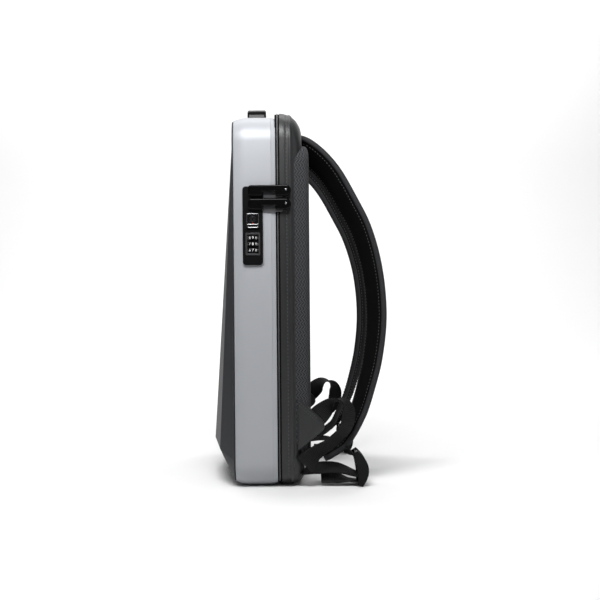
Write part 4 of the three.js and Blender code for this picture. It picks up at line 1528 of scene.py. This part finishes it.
@dataclass
class Dial:
    """Number dial with finger notches and its ten digits."""

    number: int
    x: float = 153.3
    y: float = -5.0
    top: float = 309.8
    pitch: float = 7.65
    radius: float = 6.5
    thickness: float = 5.2
    bore: float = 1.5
    notch: float = 0.45
    rim_round: float = 0.5
    bore_round: float = 0.1
    notch_power: int = 6
    notch_fade: int = 4
    samples: int = 160
    digits: int = 10
    digit_size: float = 4.5
    digit_proud: float = 0.03
    digit_thickness: float = 0.04

    @property
    def height(self) -> float:
        """Height of the dial's middle."""
        return self.top - (self.number - 1) * self.pitch

    def build(self, wardrobe: Wardrobe) -> None:
        """Makes the dial.

        Its rim's radius dips by a cosine of ten times the angle, raised to a high power so that
        the notches are narrow, and faded out towards the bore.

        Args:
            wardrobe: the finishes.
        """
        half = self.thickness / 2
        profile = round_profile([
            (self.bore, -half, self.bore_round), (self.radius, -half, self.rim_round),
            (self.radius, half, self.rim_round), (self.bore, half, self.bore_round),
        ])
        turn = np.linspace(0, 2 * math.pi, self.samples, endpoint=False)
        dip = self.notch * ((1 + np.cos(self.digits * turn + math.pi)) / 2) ** self.notch_power
        share = np.clip((profile[:, :1] - self.bore) / (self.radius - self.bore), 0, 1)
        radius = profile[:, :1] - share**self.notch_fade * dip[None]
        z = np.broadcast_to(profile[:, 1:2], radius.shape)
        points = np.stack([radius * np.cos(turn), radius * np.sin(turn), z], axis=-1)
        points += np.array([self.x, self.y, self.height])
        piece = grid_object(f"number_dial_{self.number}", points, ring=True)
        finish_piece(piece, wardrobe.of(Slot.DIAL), f"dial_{self.number}")
        self.add_digits(wardrobe)

    def add_digits(self, wardrobe: Wardrobe) -> None:
        """Lays the ten digits round the rim, each upright as seen from outside.

        A digit's width becomes an angle, and its thickness adds to the radius.

        Args:
            wardrobe: the finishes.
        """
        points, faces, count = [], [], 0
        for digit in range(self.digits):
            flat, polygons = self.digit_shape(str(digit))
            turn = 2 * math.pi * (digit + self.number) / self.digits + flat[:, 0] / self.radius
            radius = self.radius + self.digit_proud + flat[:, 2]
            spots = np.stack([radius * np.cos(turn), radius * np.sin(turn), flat[:, 1]], axis=1)
            points.append(spots + np.array([self.x, self.y, self.height]))
            faces += [[index + count for index in polygon] for polygon in polygons]
            count += len(spots)
        name = f"dial_{self.number}"
        piece = make_object(f"{name}_digits", np.vstack(points), faces)
        finish_piece(piece, wardrobe.of(wardrobe.digit), body=name)

    def digit_shape(self, text: str) -> tuple[Array, list[list[int]]]:
        """Makes one digit as a flat mesh, centred on its own middle.

        Args:
            text: the digit.

        Returns:
            Its vertices in millimetres and the corners of its faces.
        """
        curve = bpy.data.curves.new("digit", "FONT")
        curve.body = text
        curve.size = self.digit_size
        curve.extrude = self.digit_thickness
        curve.align_x = "CENTER"
        curve.align_y = "CENTER"
        holder = bpy.data.objects.new("digit", curve)
        bpy.context.scene.collection.objects.link(holder)
        bpy.context.view_layer.update()
        whole = holder.evaluated_get(bpy.context.evaluated_depsgraph_get())
        mesh = bpy.data.meshes.new_from_object(whole)
        flat = np.empty(len(mesh.vertices) * 3)
        mesh.vertices.foreach_get("co", flat)
        polygons = [list(p.vertices) for p in mesh.polygons]
        bpy.data.objects.remove(holder)
        bpy.data.curves.remove(curve)
        bpy.data.meshes.remove(mesh)
        return flat.reshape(-1, 3), polygons


@dataclass
class Lock:
    """Combination lock: its hard pieces, dials, bright rims, red dot and the zip pulls' studs. The pull
    studs and the button's rim are bright metal that stands in for the highlights on the pulls' right ends
    and along the button's top edge: painted highlight.
    """

    face: float = 158.0
    line: float = -5.0
    dot_height: float = 327.4
    dot_radius: float = 0.75
    key_height: float = 332.8
    key_rim: tuple[float, float] = (14.6, 13.6)
    button_height: float = 324.5
    # The button's bright metal rim stands in for the highlight along its top edge: painted highlight.
    button_rim: tuple[float, float] = (13.2, 3.8)
    button_proud: float = 1.4
    key_proud: float = 0.1
    rim_radius: float = 0.3
    rim_power: float = 0.25
    rim_points: int = 96
    rim_sides: int = 8
    dome_points: int = 16
    # Bright metal studs at the pulls' right ends stand in for their highlights: painted highlight.
    stud_face: float = 162.9
    stud_line: float = 36.2
    stud_heights: tuple[float, float] = (368.9, 352.0)
    stud_radius: float = 1.3

    def build(self, wardrobe: Wardrobe) -> None:
        """Makes all pieces of the lock.

        Args:
            wardrobe: the finishes.
        """
        for copy in (
            BevelledCopy("lock_housing", Slot.LOCK, 0.5),
            BevelledCopy("dial_bezel", Slot.LOCK_METAL, 0.3),
            BevelledCopy("release_button", Slot.LOCK, 0.5),
            BevelledCopy("key_plug", Slot.LOCK_METAL, 0.2, finish=wardrobe.key),
        ):
            copy.build(wardrobe)
        for number in (1, 2, 3):
            Dial(number).build(wardrobe)
        for name, proud, height, size, body in (
            ("key_rim", self.key_proud, self.key_height, self.key_rim, BODY),
            # The button's rim: painted highlight along the button's top edge, made as bright metal.
            ("button_rim", self.button_proud, self.button_height, self.button_rim, "button"),
        ):
            self.add_rim(name, proud, height, size, body, wardrobe)
        spot = (self.face, self.line, self.dot_height)
        self.add_dome("lock_dot", spot, self.dot_radius, wardrobe.dot, wardrobe)
        # Painted highlight: a bright metal dome at each pull's right end stands in for its highlight.
        for number, height in enumerate(self.stud_heights, 1):
            spot = (self.stud_face, self.stud_line, height)
            self.add_dome(f"pull_stud_{number}", spot, self.stud_radius, wardrobe.rim, wardrobe)

    def add_dome(
        self, name: str, spot: tuple[float, float, float], radius: float, finish: Finish,
        wardrobe: Wardrobe,
    ) -> None:
        """Sets a low dome on a face that looks along X.

        Its rings get narrower and higher by the shares of the radius in two short tables.

        Args:
            name: the piece's name.
            spot: middle of its foot.
            radius: its radius.
            finish: its finish.
            wardrobe: the finishes.
        """
        turn = np.linspace(0, 2 * math.pi, self.dome_points, endpoint=False)
        share = np.array([[1.0], [1.0], [0.85], [0.6], [0.3]])
        rise = radius * np.array([[-0.3], [0.0], [0.12], [0.3], [0.44]])
        y, z = share * radius * np.cos(turn), share * radius * np.sin(turn)
        points = np.stack([rise + 0 * turn, y, z], axis=-1) + np.array(spot)
        finish_piece(grid_object(name, points), wardrobe.of(finish))

    def add_rim(
        self, name: str, proud: float, height: float, size: tuple[float, float], body: str,
        wardrobe: Wardrobe,
    ) -> None:
        """Lays a thin metal rim on the lock's face.

        Its middle line is a squarish ring, width and height times a low power of the cosine and sine
        of the turn, and its section is a circle.

        Args:
            name: the piece's name.
            proud: how far its middle stands off the face.
            height: height of its middle.
            size: its width and height.
            body: body that it rides on.
            wardrobe: the finishes.
        """
        turn = np.linspace(0, 2 * math.pi, self.rim_points, endpoint=False)[:, None]
        round_turn = np.linspace(0, 2 * math.pi, self.rim_sides, endpoint=False)[None]
        half = np.array(size) / 2
        reach = [h + self.rim_radius * np.cos(round_turn) for h in half]
        y, z = (
            np.sign(wave) * np.abs(wave) ** self.rim_power * far
            for wave, far in zip((np.cos(turn), np.sin(turn)), reach)
        )
        x = self.face + proud + self.rim_radius * np.sin(round_turn) + 0 * turn
        piece = grid_object(name, np.stack([x, self.line + y, height + z], axis=-1), ring=True)
        finish_piece(piece, wardrobe.of(wardrobe.rim), body=body)


# Studio


@dataclass(frozen=True)
class SoftLight:
    """Soft rectangular light, in metres and watts."""

    name: str
    place: tuple[float, float, float]
    aim: tuple[float, float, float]
    size: tuple[float, float]
    power: float

    def hang(self) -> None:
        """Hangs the light at its place, facing the point that it aims at.

        Its side is square to nearly upright, so that a light that looks straight down has one too.
        """
        light = bpy.data.lights.new(self.name, "AREA")
        light.shape = "RECTANGLE"
        light.size, light.size_y = self.size
        light.energy = self.power
        holder = bpy.data.objects.new(self.name, light)
        spot = np.array(self.place)
        back = unit(spot - np.array(self.aim))
        side = unit(np.cross([0.0, 0.001, 1.0], back))
        up = np.cross(back, side)
        turned = [[side[i], up[i], back[i], spot[i]] for i in range(3)]
        holder.matrix_world = Matrix([*turned, [0, 0, 0, 1]])
        bpy.context.scene.collection.objects.link(holder)


@dataclass
class Studio:
    """Camera, floor, backdrop and soft lights, in metres."""

    eye: tuple[float, float, float] = (1.355, 0.0266, 0.233)
    lens: float = 58.3
    sensor: float = 36.0
    shift: float = 0.035
    roll: float = -0.0087
    floor_size: float = 12.0
    floor_drop: float = 0.0005
    wall_place: float = -2.6
    wall_height: float = 5.0
    bend: float = 0.8
    bend_rows: int = 16
    paper: Finish = Finish("pale paper", (0.86, 0.86, 0.86), 0.9, specular=0.1)
    world_strength: float = 0.08
    lights: tuple[SoftLight, ...] = (
        SoftLight("key", (0.62, -0.05, 0.82), (0.15, 0.02, 0.4), (0.45, 0.3), 8.0),
        SoftLight("overhead", (0.2, 0.1, 1.7), (0.0, 0.0, 0.3), (0.9, 1.2), 2.0),
        SoftLight("rear fill", (0.9, 1.6, 0.9), (0.0, 0.05, 0.25), (0.8, 1.2), 3.0),
        SoftLight("backdrop wash", (-0.9, 0.0, 2.6), (-2.6, 0.0, 0.7), (3.0, 1.0), 90.0),
    )

    def add_camera(self) -> None:
        """Sets the camera level with the middle of the side, looking along -X."""
        camera = bpy.data.cameras.new("camera")
        camera.lens = self.lens
        camera.sensor_width = self.sensor
        camera.shift_x = self.shift
        holder = bpy.data.objects.new("camera", camera)
        side = (0.0, math.cos(self.roll), self.roll)
        up = (0.0, -self.roll, math.cos(self.roll))
        back = (1.0, 0.0, 0.0)
        rows = [[side[i], up[i], back[i], self.eye[i]] for i in range(3)]
        holder.matrix_world = Matrix([*rows, [0, 0, 0, 1]])
        bpy.context.scene.collection.objects.link(holder)
        bpy.context.scene.camera = holder

    def add_floor(self) -> None:
        """Lays one pale sweep: a floor that curves up into a backdrop by a quarter circle."""
        half = self.floor_size / 2
        turn = np.linspace(0, math.pi / 2, self.bend_rows)
        curve = self.wall_place + self.bend - self.bend * np.sin(turn)
        run = np.concatenate([[half], curve, [self.wall_place]])
        rise = np.concatenate([[0.0], self.bend * (1 - np.cos(turn)), [self.wall_height]]) - self.floor_drop
        sides = np.array([-half, half])
        grid = np.stack(np.broadcast_arrays(run[:, None], sides[None], rise[:, None]), axis=-1)
        i = np.arange(len(run) - 1) * 2
        faces = np.stack([i, i + 1, i + 3, i + 2], axis=1).tolist()
        mesh = bpy.data.meshes.new("sweep")
        mesh.from_pydata(grid.reshape(-1, 3).tolist(), [], faces)
        mesh.shade_smooth()
        sweep = bpy.data.objects.new("sweep", mesh)
        bpy.context.scene.collection.objects.link(sweep)
        mesh.materials.append(self.paper.build())

    def build(self) -> None:
        """Sets up the whole studio."""
        self.add_camera()
        self.add_floor()
        for light in self.lights:
            light.hang()
        world = bpy.data.worlds.new("studio")
        world.use_nodes = True
        background = world.node_tree.nodes["Background"].inputs
        background["Color"].default_value = (1, 1, 1, 1)
        background["Strength"].default_value = self.world_strength
        bpy.context.scene.world = world
        bpy.context.scene.view_settings.view_transform = "Standard"


def main() -> None:
    """Builds the bag piece by piece, then the studio round it."""
    logging.basicConfig(level=logging.INFO, format="%(name)s: %(message)s")
    wardrobe, body = Wardrobe(), Body()
    pieces = [
        SideFrame(body),
        BevelledCopy("front_panel", Slot.PANEL, 1.6, angle=6.0),
        ZipLine(body),
        Gusset(body),
        BackPad(body),
        Handle(body),
        Lock(),
    ]
    for side in Side:
        ladder, strap = Ladder(body), ShoulderStrap(body, side)
        pieces += [
            Wing(body, side),
            strap,
            Webbing(body, side, ladder, strap),
            LadderLock(ladder, side),
            BevelledCopy(f"handle_mount_{side.word}", Slot.GLOSS, 0.8),
        ]
    for word in ("upper", "lower"):
        pieces.append(BevelledCopy(f"zipper_pull_{word}", Slot.GLOSS, 1.8, segments=5))
        pieces.append(BevelledCopy(f"zipper_slider_{word}", Slot.SLIDER, 0.6))
    for piece in pieces:
        piece.build(wardrobe)
    Studio().build()


if __name__ == "__main__":
    main()
